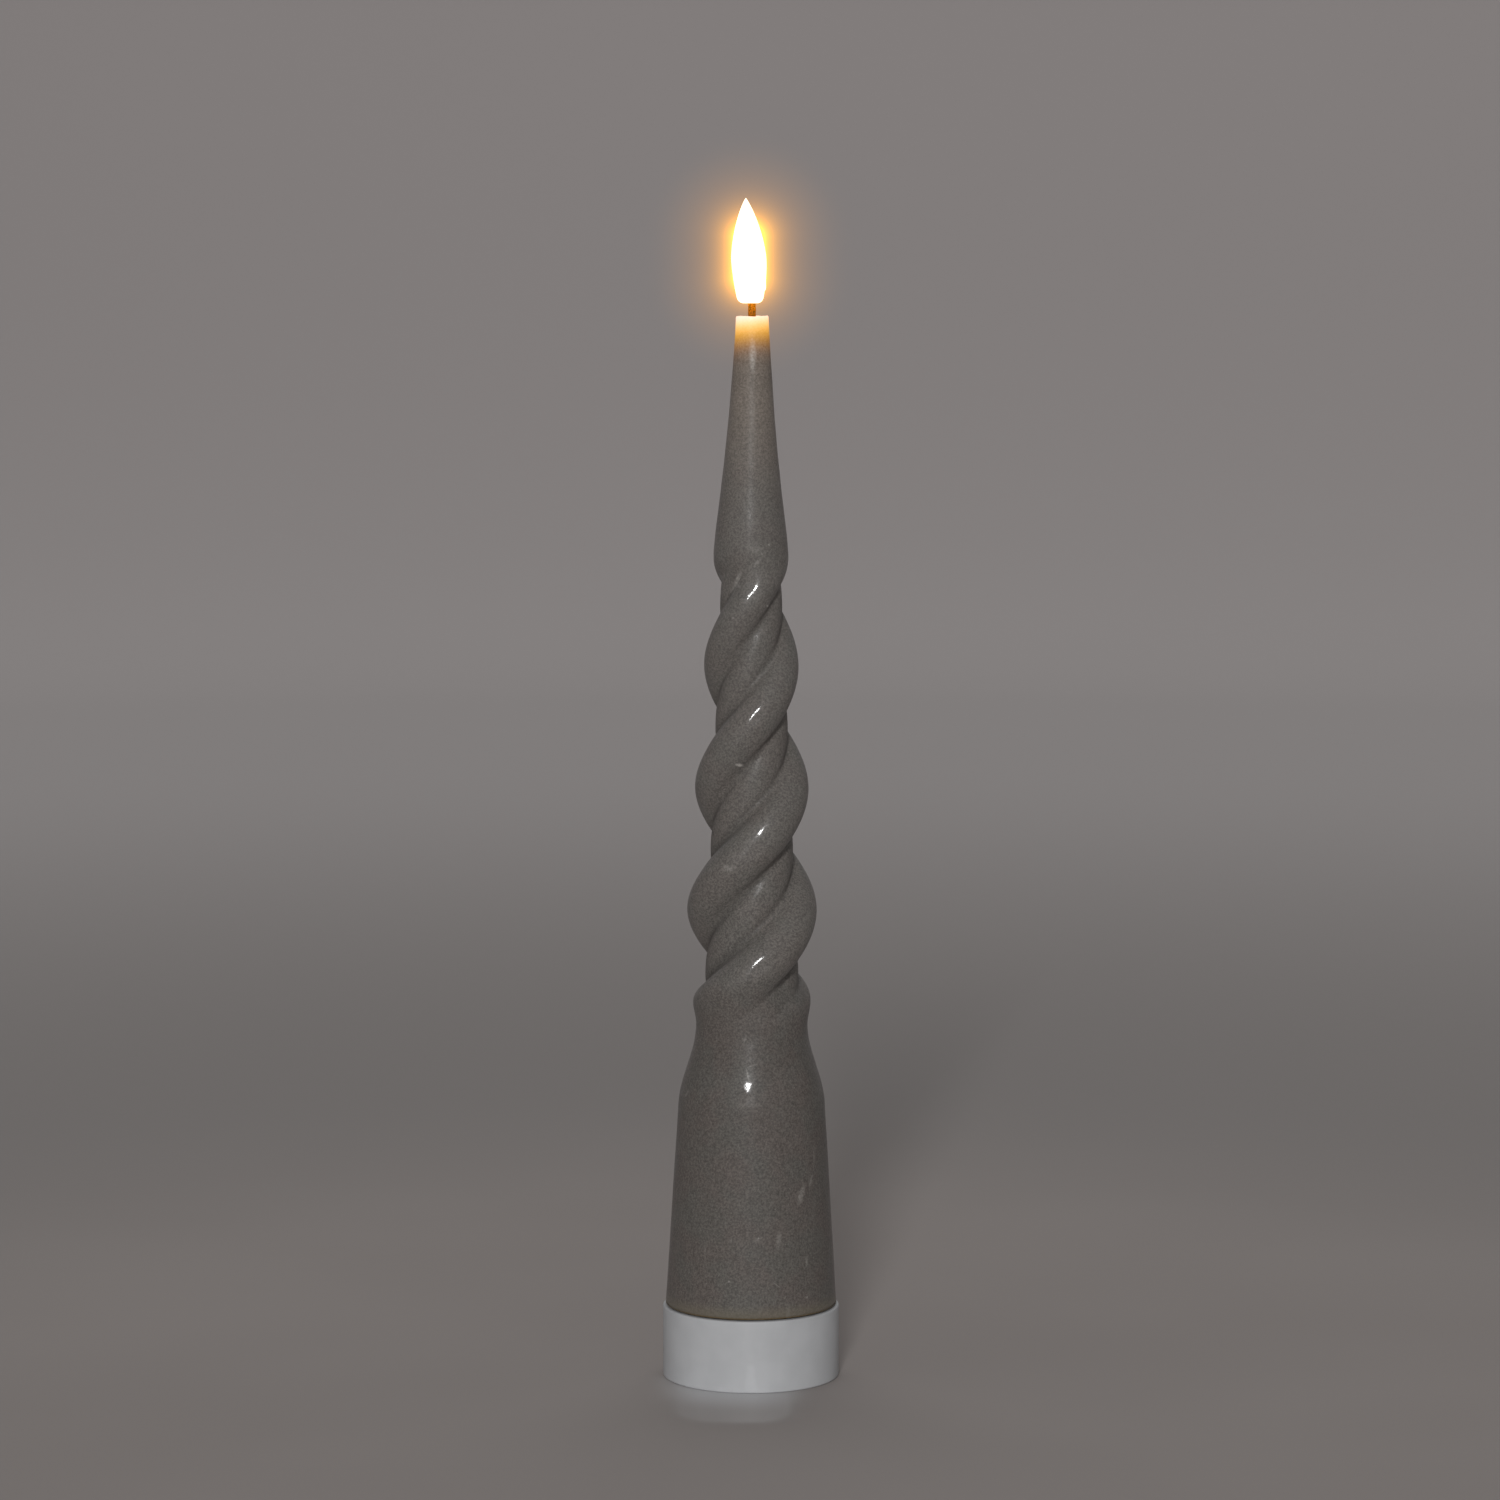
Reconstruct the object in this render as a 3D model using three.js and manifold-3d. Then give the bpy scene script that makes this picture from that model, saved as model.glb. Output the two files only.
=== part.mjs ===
// A battery-powered dinner candle: a twisted wax body with a glowing flame, on a twist-off base.
// Millimetres, +Z up. The origin is on the candle's axis, on the surface that it stands on.
// The front of the candle faces -Y.
import * as THREE from 'three';
import { mergeVertices } from 'three/addons/utils/BufferGeometryUtils.js';
import Module from 'manifold-3d';

const wasm = await Module();
wasm.setup();

// Clearances
const fit = 0.3; // between pieces that slide, turn or nest in each other
const seat = 0.05; // under pieces that are stacked, soldered or glued
const past = 1; // how far a cutting tool runs past the face that it cuts

// White base ring, which turns to lock the base to the candle
const ringHeight = 15.5;
const ringWall = 2;
const ringBevel = 0.8;
const ringTopBevel = 0.25;
const lipHeight = 1.5;
const lipWidth = 1.8;
const beadHeight = 0.8;
const beadWidth = 0.6;
const lugCount = 3;
const lugWidth = 5;
const lugHeight = 1.8;
const lugLift = 4.2;
const lockAngle = 30;

// Contact carrier, the floor inside the ring
const carrierThickness = 1.8;
const ledgeHeight = 1.1;
const forkHeight = 8.4;
const forkDepth = 2.1;
const forkWall = 1.5;

// Battery housing
const skirtWall = 1.4;
const skirtRise = 4.5;
const skirtRoof = 1.8;
const bayWall = 1.2;
const webThickness = 0.6;
const guideThickness = 1;
const keyWeb = 1.5;

// Cells, two of size AAA side by side
const cellRadius = 5.25;
const cellLength = 44.5;
const cellCrimp = 0.5;
const nubRadius = 1.9;
const nubHeight = 0.8;

// Contacts
const plateThickness = 0.3;
const plateSide = 6.5;
const springHeight = 3.4;
const springWire = 0.5;
const springBase = 6.4;
const springTip = 3.2;
const springTurns = 3;

// Boards and what is on them
const boardThickness = 1;
const controlBoardInset = 0.4;
const switchBoardInset = 0.8;
const screwRadius = 0.8;
const screwHeadRadius = 1.6;
const screwHeadHeight = 0.9;
const screwHeadTop = 1.1;
const screwSlot = [0.35, 0.4];
const screwLength = 4;
const bossRadius = 2.1;
const bossInset = 0.5;
const bossLength = 12;
const chipSize = [3.9, 4.9, 1.5];
const chipLift = 0.15;
const pinSize = [1.1, 0.4, 0.6];
const pinReach = 0.4;
const pinPitch = 1.27;
const crystalRadius = 1;
const crystalLength = 6;
const crystalOffset = 1.5;
const resistorSize = [3.2, 1.6, 0.6];
const resistorPlace = [0, 4];
const capacitorSize = [2, 1.3, 1.2];
const capacitorPlace = [4.6, -4.6];

// Slide switch
const caseSize = [9, 4.4, 3];
const caseWall = 0.4;
const switchTravel = 3;
const sliderSize = [3, 2.8, 1.2];
const stemWidth = 1.6;
const thumbSize = [3.6, 2.8, 2.6];
const grooveSize = [0.4, 0.3];
const groovePitch = 0.9;

// Wax body, from the base up
const waxSetback = 0.6;
const bellTopWax = 2.9;
const bellCover = 2.2;
const neckRadius = 11.95;
const shoulderHeight = 18;
const twistHeight = 102.4;
const coneHeight = 49;
const coneBottomRadius = 8.05;
const coneCollar = 8.1;
const collarFillet = 0.8;
const coneTopRadius = 3.45;
const coneStraightness = 0.51;
const waxEdge = 0.5;
const rimEdge = 0.3;
const dishDepth = 0.5;
const waxCap = 1.8;

// Twist: two round strands on a core, rising to the right on the front
const strandCount = 2;
const twistLead = 53;
const strandStart = 96.7;
const strandBottomReach = 15.26;
const strandTopReach = 7.89;
const strandBow = 0.58;
const strandOffsetShare = 0.446;
const coreBottomRadius = 10.46;
const coreTopRadius = 6.1;
const coreOffsetShare = 0.2;
const grooveFillet = 1.2;
const strandRise = 11.5;
const strandFade = 10;

// Hollow stem inside the wax
const footFlare = 3.6;
const footHeight = 18;
const footNeck = 1;
const footWall = 1.2;
const socketHeight = 6;
const stemBottomRadius = 4.6;
const stemTopRadius = 2.5;
const stemWall = 0.85;
const stemStraight = 10;
const holderThickness = 1.35;
const spigotLength = 2.3;

// Wick, flame and lamp
const wickOffset = 0.2;
const wickRadius = 0.85;
const wickBore = 0.6;
const wickShow = 3;
const flameHeight = 21.8;
const flameRadius = 3.95;
const flameMouth = 2.5;
const flameWall = 0.7;
const flameStart = -0.1;
const flameLean = -0.9;
const seatRadius = 1.7;
const seatHeight = 1.1;
const ledRadius = 1.45;
const ledBody = 2.6;
const legSpread = 0.64;
const legRadius = 0.15;

// Wires from the control board to the lamp
const wireRadius = 0.5;
const wireTopSpread = 1.3;
const wirePadSpread = 5;
const wirePadDepth = 3.2;
const wireStraight = 3;

// Heights that follow from the sizes above
const carrierBottom = lipHeight + fit;
const carrierTop = carrierBottom + carrierThickness;
const beadBottom = carrierTop + fit;
const beadTop = beadBottom + beadHeight;
const ledgeTop = carrierTop + ledgeHeight;
const skirtBottom = ledgeTop + fit;
const skirtTop = ringHeight + skirtRise;
const lugBottom = carrierTop + lugLift;
const caseBottom = carrierTop + seat;
const switchBoardBottom = caseBottom + caseSize[2] + seat;
const switchBoardTop = switchBoardBottom + boardThickness;
const lowerContact = switchBoardTop + seat;
const headRoom = lowerContact + screwHeadHeight + fit;
const firstCellBottom = lowerContact + springHeight + fit;
const secondCellBottom = lowerContact + plateThickness + fit;
const firstCellTop = firstCellBottom + cellLength;
const secondCellTop = secondCellBottom + cellLength;
const controlBoardBottom = firstCellTop + plateThickness + 2 * seat;
const controlBoardTop = controlBoardBottom + boardThickness;
const bayTop = controlBoardBottom - seat;
const footBottom = bayTop + seat;
const footTop = footBottom + footHeight;
const socketTop = footTop + socketHeight;
const stemBottom = footTop + seat;
const waxBottom = ringHeight + fit;
const bellTop = bayTop + bellCover;
const neck = bellTop + shoulderHeight;
const twistTop = neck + twistHeight;
const waxTop = twistTop + coneHeight;
const holderTop = waxTop - waxCap - fit;
const stemTop = holderTop - holderThickness - seat;
const flameBottom = waxTop + wickShow;
const lampSeat = flameBottom + flameWall + fit;
const lampBottom = lampSeat + seatHeight + seat;

// Radii and places that follow from the sizes above, from the cells outwards
const cellOffset = webThickness / 2 + fit + cellRadius;
const bayInner = cellOffset + cellRadius + fit;
const bayRadius = bayInner + bayWall;
const skirtInner = bayRadius + fit + forkDepth + fit;
const skirtRadius = skirtInner + skirtWall;
const ringBore = skirtRadius + fit;
const ringRadius = ringBore + ringWall;
const carrierRadius = ringBore - fit;
const waxBottomRadius = ringRadius - waxSetback;
const bellTopRadius = bayRadius + fit + bellTopWax;
const controlBoardRadius = bayInner - controlBoardInset;
const switchBoardRadius = bayRadius - switchBoardInset;
const screwOffset = bayInner - bossRadius - bossInset;
const socketRadius = stemBottomRadius + fit + footWall;

// Facets round a full turn
const roundSteps = 48;
const mediumSteps = 32;
const tubeSteps = 24;
const smallSteps = 20;
const legSteps = 8;
const waxSteps = 36;

// Rows of facets up the wax
const bellRows = 3;
const shoulderRows = 8;
const twistRows = 50;
const coneRows = 9;

// Shape helpers

function toSolid(geometry) {
  const bare = new THREE.BufferGeometry();
  bare.setAttribute('position', geometry.attributes.position);
  if (geometry.index) bare.setIndex(geometry.index);
  const merged = mergeVertices(bare, 1e-4);
  const corners = merged.index.array;
  const triangles = [];
  for (let i = 0; i < corners.length; i += 3) {
    const [a, b, c] = [corners[i], corners[i + 1], corners[i + 2]];
    if (a !== b && b !== c && c !== a) triangles.push(a, b, c);
  }
  return new wasm.Manifold(new wasm.Mesh({
    numProp: 3,
    vertProperties: Float32Array.from(merged.attributes.position.array),
    triVerts: Uint32Array.from(triangles),
  }));
}

function toGeometry(solid) {
  const mesh = solid.getMesh();
  const geometry = new THREE.BufferGeometry();
  geometry.setAttribute('position', new THREE.BufferAttribute(Float32Array.from(mesh.vertProperties), 3));
  geometry.setIndex(Array.from(mesh.triVerts));
  geometry.computeVertexNormals();
  return geometry;
}

function join(...solids) {
  return solids.reduce((whole, solid) => whole.add(solid));
}

function cut(whole, ...tools) {
  return tools.reduce((rest, tool) => rest.subtract(tool), whole);
}

// A turned body. The outline runs upwards on its outer side, as [radius, height] pairs.
function turned(outline, steps = roundSteps) {
  const points = outline.map(([radius, height]) => new THREE.Vector2(radius, height));
  const onAxis = points[0].x === 0 && points[points.length - 1].x === 0;
  if (!onAxis) points.push(points[0].clone());
  const geometry = new THREE.LatheGeometry(points, steps);
  geometry.rotateX(Math.PI / 2);
  return toSolid(geometry);
}

function rod(radius, bottom, top, x = 0, y = 0, steps = smallSteps) {
  const geometry = new THREE.CylinderGeometry(radius, radius, top - bottom, steps);
  geometry.rotateX(Math.PI / 2);
  geometry.translate(x, y, (bottom + top) / 2);
  return toSolid(geometry);
}

function block([width, depth, height], x, y, bottom) {
  const geometry = new THREE.BoxGeometry(width, depth, height);
  geometry.translate(x, y, bottom + height / 2);
  return toSolid(geometry);
}

// Part of a ring, between two angles in degrees from +X
function arcBlock(inner, outer, from, to, bottom, top) {
  const start = THREE.MathUtils.degToRad(from);
  const end = THREE.MathUtils.degToRad(to);
  const shape = new THREE.Shape();
  shape.absarc(0, 0, outer, start, end, false);
  shape.absarc(0, 0, inner, end, start, true);
  shape.closePath();
  const degreesPerStep = 8;
  const geometry = new THREE.ExtrudeGeometry(shape, {
    depth: top - bottom,
    bevelEnabled: false,
    curveSegments: Math.max(3, Math.ceil((to - from) / degreesPerStep)),
  });
  geometry.translate(0, 0, bottom);
  return toSolid(geometry);
}

// A closed body through rings of points, each ring counted counter-clockwise from above
function lofted(rings) {
  const count = rings[0].length;
  const points = rings.flat();
  const triangles = [];
  for (let row = 0; row < rings.length - 1; row += 1) {
    for (let i = 0; i < count; i += 1) {
      const next = (i + 1) % count;
      const [a, b] = [row * count + i, row * count + next];
      triangles.push(a, b, a + count, b, b + count, a + count);
    }
  }
  const last = (rings.length - 1) * count;
  const bottomMiddle = points.push(middleOf(rings[0])) - 1;
  const topMiddle = points.push(middleOf(rings[rings.length - 1])) - 1;
  for (let i = 0; i < count; i += 1) {
    const next = (i + 1) % count;
    triangles.push(bottomMiddle, next, i);
    triangles.push(topMiddle, last + i, last + next);
  }
  const geometry = new THREE.BufferGeometry().setFromPoints(points);
  geometry.setIndex(triangles);
  return toSolid(geometry);
}

function middleOf(ring) {
  const middle = new THREE.Vector3();
  ring.forEach((point) => middle.add(point));
  return middle.divideScalar(ring.length);
}

function heightsBetween(from, to, count) {
  return Array.from({ length: count }, (_, i) => from + ((to - from) * i) / count);
}

function degreesAlong(length, radius) {
  return THREE.MathUtils.radToDeg(length / radius);
}

function mix(a, b, share) {
  return a + (b - a) * share;
}

// Wax outline

function coneRadiusAt(z) {
  const share = (waxTop - z) / coneHeight;
  const curve = coneStraightness * share + (1 - coneStraightness) * share * share;
  const radius = mix(coneTopRadius, coneBottomRadius, curve);
  const overlap = Math.max(collarFillet - Math.abs(radius - coneCollar), 0) / collarFillet;
  return Math.min(radius, coneCollar) - (overlap * overlap * collarFillet) / 4;
}

function bellRadiusAt(z) {
  if (z < bellTop) return mix(waxBottomRadius, bellTopRadius, (z - waxBottom) / (bellTop - waxBottom));
  return mix(bellTopRadius, neckRadius, THREE.MathUtils.smoothstep(z, bellTop, neck));
}

function plainRadiusAt(z) {
  return z < (neck + twistTop) / 2 ? bellRadiusAt(z) : coneRadiusAt(z);
}

// Distance from the axis to a circle that passes through the given reach, its centre moved out
function lobe(angle, reach, offset) {
  const radius = reach - offset;
  const across = offset * Math.sin(angle);
  return offset * Math.cos(angle) + Math.sqrt(Math.max(radius * radius - across * across, 0));
}

function twistShareAt(z) {
  const rise = THREE.MathUtils.smoothstep(z, neck, neck + strandRise);
  const fade = 1 - THREE.MathUtils.smoothstep(z, twistTop - strandFade, twistTop);
  return rise * fade;
}

function twistAngleAt(z) {
  const climbed = THREE.MathUtils.clamp(z, neck, twistTop) - neck;
  return THREE.MathUtils.degToRad(strandStart) + (2 * Math.PI * climbed) / twistLead;
}

// Radius of the wax at a height and an angle from the middle of a strand
function waxRadius(angle, z) {
  const share = twistShareAt(z);
  if (share === 0) return plainRadiusAt(z);
  const along = (z - neck) / twistHeight;
  const bow = 4 * strandBow * along * (1 - along);
  const fullReach = mix(strandBottomReach, strandTopReach, along) + bow;
  const reach = mix(plainRadiusAt(z), fullReach, share);
  const core = mix(coreBottomRadius, coreTopRadius, along);
  const spacing = (2 * Math.PI) / strandCount;
  const toStrand = wrapped(angle, spacing);
  const toGap = wrapped(angle + spacing / 2, spacing);
  const strand = lobe(toStrand, reach, strandOffsetShare * share * reach);
  const ridge = lobe(toGap, core, coreOffsetShare * core);
  const overlap = Math.max(grooveFillet - Math.abs(strand - ridge), 0) / grooveFillet;
  return Math.max(strand, ridge) + (overlap * overlap * grooveFillet) / 4;
}

function wrapped(angle, spacing) {
  return THREE.MathUtils.euclideanModulo(angle + spacing / 2, spacing) - spacing / 2;
}

function waxRing(z, inset = 0) {
  const turn = twistAngleAt(z);
  return Array.from({ length: waxSteps }, (_, i) => {
    const angle = (2 * Math.PI * i) / waxSteps;
    const radius = waxRadius(angle, z) - inset;
    return new THREE.Vector3(radius * Math.sin(angle + turn), -radius * Math.cos(angle + turn), z);
  });
}

function waxBody() {
  const heights = [
    ...heightsBetween(waxBottom + waxEdge, bellTop, bellRows),
    ...heightsBetween(bellTop, neck, shoulderRows),
    ...heightsBetween(neck, twistTop, twistRows),
    ...heightsBetween(twistTop, waxTop - rimEdge, coneRows),
    waxTop - rimEdge,
  ];
  const rings = heights.map((z) => waxRing(z));
  rings.unshift(waxRing(waxBottom, waxEdge));
  rings.push(waxRing(waxTop, rimEdge));
  return lofted(rings);
}

// Hollow for the core: the skirt, bay, foot, stem and wick holder, each with its clearance
function waxHollow() {
  const footOutside = footOutline().map(([radius, height]) => [radius + fit, height]);
  const dishRadius = coneTopRadius - 2 * rimEdge;
  return turned([
    [0, waxBottom - past],
    [skirtRadius + fit, waxBottom - past],
    [skirtRadius + fit, skirtTop + fit],
    [bayRadius + fit, skirtTop + fit],
    ...footOutside,
    [socketRadius + fit, socketTop + fit],
    [stemBottomRadius + fit, socketTop + fit],
    [stemBottomRadius + fit, stemBottom + stemStraight],
    [stemTopRadius + fit, stemTop],
    [stemTopRadius + fit, holderTop + fit],
    [wickOffset + wickRadius + fit, holderTop + fit],
    [wickOffset + wickRadius + fit, waxTop - dishDepth],
    [dishRadius, waxTop],
    [dishRadius, waxTop + past],
    [0, waxTop + past],
  ], mediumSteps);
}

function waxShell() {
  return cut(waxBody(), waxHollow());
}

// Base

function lockingRing() {
  const body = turned([
    [ringBore - lipWidth, 0],
    [ringRadius - ringBevel, 0],
    [ringRadius, ringBevel],
    [ringRadius, ringHeight - ringTopBevel],
    [ringRadius - ringTopBevel, ringHeight],
    [ringBore, ringHeight],
    [ringBore, beadTop],
    [ringBore - beadWidth, beadTop],
    [ringBore - beadWidth, beadBottom],
    [ringBore, beadBottom],
    [ringBore, lipHeight],
    [ringBore - lipWidth, lipHeight],
  ]);
  const half = degreesAlong(lugWidth / 2, skirtRadius);
  const lugs = lugAngles().map((angle) => arcBlock(skirtInner + fit, ringBore + ringWall / 2,
    angle - half, angle + half, lugBottom, lugBottom + lugHeight));
  return join(body, ...lugs);
}

function lugAngles() {
  return Array.from({ length: lugCount }, (_, i) => (360 * i) / lugCount);
}

// The keys stand midway between the slots, at two of the three places, so the base fits one way
function keyAngles() {
  return lugAngles().slice(0, lugCount - 1).map((angle) => angle + (lockAngle + 360 / lugCount) / 2);
}

function contactCarrier() {
  const ledgeRadius = ringBore - beadWidth - fit;
  const floor = turned([
    [0, carrierBottom],
    [carrierRadius, carrierBottom],
    [carrierRadius, carrierTop],
    [ledgeRadius, carrierTop],
    [ledgeRadius, ledgeTop],
    [skirtInner - fit, ledgeTop],
    [skirtInner - fit, carrierTop],
    [0, carrierTop],
  ]);
  const middle = (bayRadius + skirtInner) / 2;
  const inside = degreesAlong(keyWeb / 2 + fit, middle);
  const outside = inside + degreesAlong(forkWall, middle);
  const forks = keyAngles().flatMap((angle) => [-1, 1].map((side) => {
    const [from, to] = [angle + side * inside, angle + side * outside].sort((a, b) => a - b);
    return arcBlock(bayRadius + fit, skirtInner - fit, from, to, carrierTop - seat, carrierTop + forkHeight);
  }));
  const posts = [-1, 1].map((side) => (
    rod(bossRadius, carrierTop - seat, switchBoardBottom - seat, 0, side * screwOffset)));
  const pilots = [-1, 1].map((side) => (
    rod(screwRadius + fit, switchBoardBottom - screwLength - fit, switchBoardBottom, 0, side * screwOffset)));
  const windowSize = [thumbSize[0] + switchTravel, thumbSize[1]].map((size) => size + 2 * fit);
  const window = block([...windowSize, carrierThickness + 2 * past], 0, 0, carrierBottom - past);
  return cut(join(floor, ...forks, ...posts), window, ...pilots);
}

function switchBoard() {
  const board = rod(switchBoardRadius, switchBoardBottom, switchBoardTop, 0, 0, roundSteps);
  return cut(board, ...screwHoles(switchBoardBottom, switchBoardTop));
}

function screwHoles(bottom, top) {
  return [-1, 1].map((side) => rod(screwRadius + fit, bottom - past, top + past, 0, side * screwOffset));
}

function screw(boardTop, side) {
  const under = boardTop + seat;
  const body = turned([
    [0, under - screwLength],
    [screwRadius, under - screwLength],
    [screwRadius, under],
    [screwHeadRadius, under],
    [screwHeadRadius, under + screwHeadHeight / 2],
    [screwHeadTop, under + screwHeadHeight],
    [0, under + screwHeadHeight],
  ], smallSteps);
  const [slotWidth, slotDepth] = screwSlot;
  const slotBottom = under + screwHeadHeight - slotDepth;
  const across = block([screwHeadRadius, slotWidth, slotDepth + past], 0, 0, slotBottom);
  const along = block([slotWidth, screwHeadRadius, slotDepth + past], 0, 0, slotBottom);
  return cut(body, across, along).translate([0, side * screwOffset, 0]);
}

// Thin steel can round the switch, open at the top, with a slot below for the slider's stem
function switchCase() {
  const [length, width, height] = caseSize;
  const shell = block(caseSize, 0, 0, caseBottom);
  const hollow = block([length - 2 * caseWall, width - 2 * caseWall, height], 0, 0, caseBottom + caseWall);
  const slotSize = [stemWidth + switchTravel, stemWidth].map((size) => size + 2 * fit);
  const slot = block([...slotSize, caseWall + 2 * past], 0, 0, caseBottom - past);
  return cut(shell, hollow, slot);
}

function switchKnob() {
  const x = -switchTravel / 2;
  const sliderBottom = caseBottom + caseWall + fit;
  const thumbTop = caseBottom - fit;
  const thumbBottom = thumbTop - thumbSize[2];
  const slider = block(sliderSize, x, 0, sliderBottom);
  const stem = block([stemWidth, stemWidth, sliderBottom - thumbTop + 2 * seat], x, 0, thumbTop - seat);
  const thumb = block(thumbSize, x, 0, thumbBottom);
  const [grooveWidth, grooveDepth] = grooveSize;
  const grooves = [-1, 0, 1].map((step) => (
    block([grooveWidth, thumbSize[1], grooveDepth + seat], x + step * groovePitch, 0, thumbBottom - seat)));
  return cut(join(slider, stem, thumb), ...grooves);
}

// Contacts and cells

function contactPlate(x, bottom) {
  return block([plateSide, plateSide, plateThickness], x, 0, bottom);
}

// Conical coil of one unbroken wire, wide end at the board
function contactSpring(x, boardFace, direction, name) {
  const stepsPerTurn = 8;
  const sides = 5;
  const wire = springWire / 2;
  const steps = springTurns * stepsPerTurn;
  const path = Array.from({ length: steps + 1 }, (_, i) => {
    const share = i / steps;
    const radius = mix(springBase, springTip, share) / 2 - wire;
    const angle = 2 * Math.PI * springTurns * share;
    const height = boardFace + direction * mix(wire, springHeight - wire, share);
    return new THREE.Vector3(x + radius * Math.cos(angle), radius * Math.sin(angle), height);
  });
  reportLeastGap(path, stepsPerTurn, springWire, name);
  const up = new THREE.Vector3(0, 0, 1);
  const rings = path.map((point, i) => {
    const before = path[Math.max(i - 1, 0)];
    const after = path[Math.min(i + 1, steps)];
    const ahead = after.clone().sub(before).normalize();
    const out = ahead.clone().cross(up).normalize();
    const over = out.clone().cross(ahead).normalize();
    return Array.from({ length: sides }, (_, k) => {
      const angle = (2 * Math.PI * k) / sides;
      const sideways = out.clone().multiplyScalar(wire * Math.cos(angle));
      return point.clone().add(sideways).addScaledVector(over, wire * Math.sin(angle));
    }).reverse();
  });
  return lofted(rings);
}

function reportLeastGap(path, stepsPerTurn, wire, name) {
  let least = Infinity;
  for (let i = 0; i < path.length; i += 1) {
    for (let j = i + stepsPerTurn / 2; j < path.length; j += 1) {
      least = Math.min(least, path[i].distanceTo(path[j]) - wire);
    }
  }
  console.log(`${name}: least gap between turns ${least.toFixed(2)} mm`);
}

// The jacket runs the length of the cell, with a crimped edge at both ends
function batteryCell(x, bottom, nubUp) {
  const bodyLength = cellLength - nubHeight;
  const outline = [
    [0, 0],
    [cellRadius - cellCrimp, 0],
    [cellRadius, cellCrimp],
    [cellRadius, bodyLength - cellCrimp],
    [cellRadius - cellCrimp, bodyLength],
    [nubRadius, bodyLength],
    [nubRadius, cellLength],
    [0, cellLength],
  ];
  const cell = turned(outline, tubeSteps);
  const placed = nubUp ? cell : cell.rotate([180, 0, 0]).translate([0, 0, cellLength]);
  return placed.translate([x, 0, bottom]);
}

// Housing

function batteryHousing() {
  const shell = turned([
    [bayInner, headRoom],
    [bayRadius, headRoom],
    [bayRadius, skirtTop - skirtRoof],
    [skirtInner, skirtTop - skirtRoof],
    [skirtInner, skirtBottom],
    [skirtRadius, skirtBottom],
    [skirtRadius, skirtTop],
    [bayRadius, skirtTop],
    [bayRadius, bayTop],
    [bayInner, bayTop],
  ]);
  const bayHeight = bayTop - headRoom;
  const divider = block([webThickness, 2 * bayInner + bayWall, bayHeight], 0, 0, headRoom);
  const guideDepth = bayRadius - cellRadius - 2 * fit;
  const guides = [-1, 1].flatMap((end) => [-1, 1].map((side) => (
    block([guideThickness, guideDepth, bayHeight],
      end * cellOffset, side * (cellRadius + fit + guideDepth / 2), headRoom))));
  const bosses = [-1, 1].map((side) => (
    rod(bossRadius, bayTop - bossLength, bayTop, 0, side * screwOffset)));
  const inside = rod(bayInner + bayWall / 2, headRoom, bayTop, 0, 0, roundSteps);
  const ribs = join(divider, ...guides, ...bosses).intersect(inside);
  const pilots = [-1, 1].map((side) => (
    rod(screwRadius + fit, bayTop - screwLength - fit, bayTop + past, 0, side * screwOffset)));
  const webStart = bayRadius - bayWall / 2;
  const webEnd = skirtInner + skirtWall / 2;
  const webBottom = skirtBottom + ledgeHeight;
  const webSize = [webEnd - webStart, keyWeb, skirtTop - skirtRoof / 2 - webBottom];
  const webs = keyAngles().map((angle) => (
    block(webSize, (webStart + webEnd) / 2, 0, webBottom).rotate([0, 0, angle])));
  return cut(join(shell, ribs, ...webs), ...pilots, ...lugAngles().map(lockSlot));
}

// A slot for one lug: straight up from the skirt's edge, then sideways over the lock angle
function lockSlot(angle) {
  const half = degreesAlong(lugWidth / 2 + fit, skirtRadius);
  const [inner, outer] = [skirtInner - fit, skirtRadius + fit];
  const top = lugBottom + lugHeight + fit;
  const entry = arcBlock(inner, outer, angle - half, angle + half, skirtBottom - past, top);
  const run = arcBlock(inner, outer, angle - half, angle + lockAngle + half, lugBottom - fit, top);
  return join(entry, run);
}

// Control board, on top of the bay

function controlBoard() {
  const board = rod(controlBoardRadius, controlBoardBottom, controlBoardTop, 0, 0, roundSteps);
  return cut(board, ...screwHoles(controlBoardBottom, controlBoardTop));
}

function timerChip() {
  const [width, length, height] = chipSize;
  const bottom = controlBoardTop + seat;
  const body = block([width, length, height - chipLift], -cellOffset, 0, bottom + chipLift);
  const pins = [-1, 1].flatMap((side) => [-1.5, -0.5, 0.5, 1.5].map((place) => (
    block(pinSize, -cellOffset + side * (width / 2 + pinReach), place * pinPitch, bottom))));
  return join(body, ...pins);
}

function timingCrystal() {
  const can = new THREE.CylinderGeometry(crystalRadius, crystalRadius, crystalLength, smallSteps);
  can.translate(cellOffset + crystalOffset, 0, controlBoardTop + seat + crystalRadius);
  return toSolid(can);
}

function surfacePart(size, [x, y]) {
  return block(size, x, y, controlBoardTop + seat);
}

// Stem

function footOutline() {
  const mouth = new THREE.Vector2(bayRadius, footBottom + footFlare);
  const throat = new THREE.Vector2(socketRadius, footTop - footNeck);
  const reach = (throat.y - mouth.y) / 2;
  const curve = new THREE.CubicBezierCurve(
    mouth,
    mouth.clone().add(new THREE.Vector2(0, reach)),
    throat.clone().sub(new THREE.Vector2(0, reach)),
    throat,
  );
  return curve.getPoints(6).map((point) => [point.x, point.y]);
}

function stemFoot() {
  const outside = footOutline();
  const inside = outside.map(([radius, height]) => [radius - footWall, height - footWall / 2]);
  const boreRadius = stemBottomRadius - stemWall;
  const hollow = inside.filter(([radius]) => radius > boreRadius).reverse();
  return turned([
    [bayInner, footBottom],
    [bayRadius, footBottom],
    ...outside,
    [socketRadius, socketTop],
    [socketRadius - footWall, socketTop],
    [socketRadius - footWall, footTop],
    [boreRadius, footTop],
    [boreRadius, footTop - footWall],
    ...hollow,
  ], mediumSteps);
}

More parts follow.
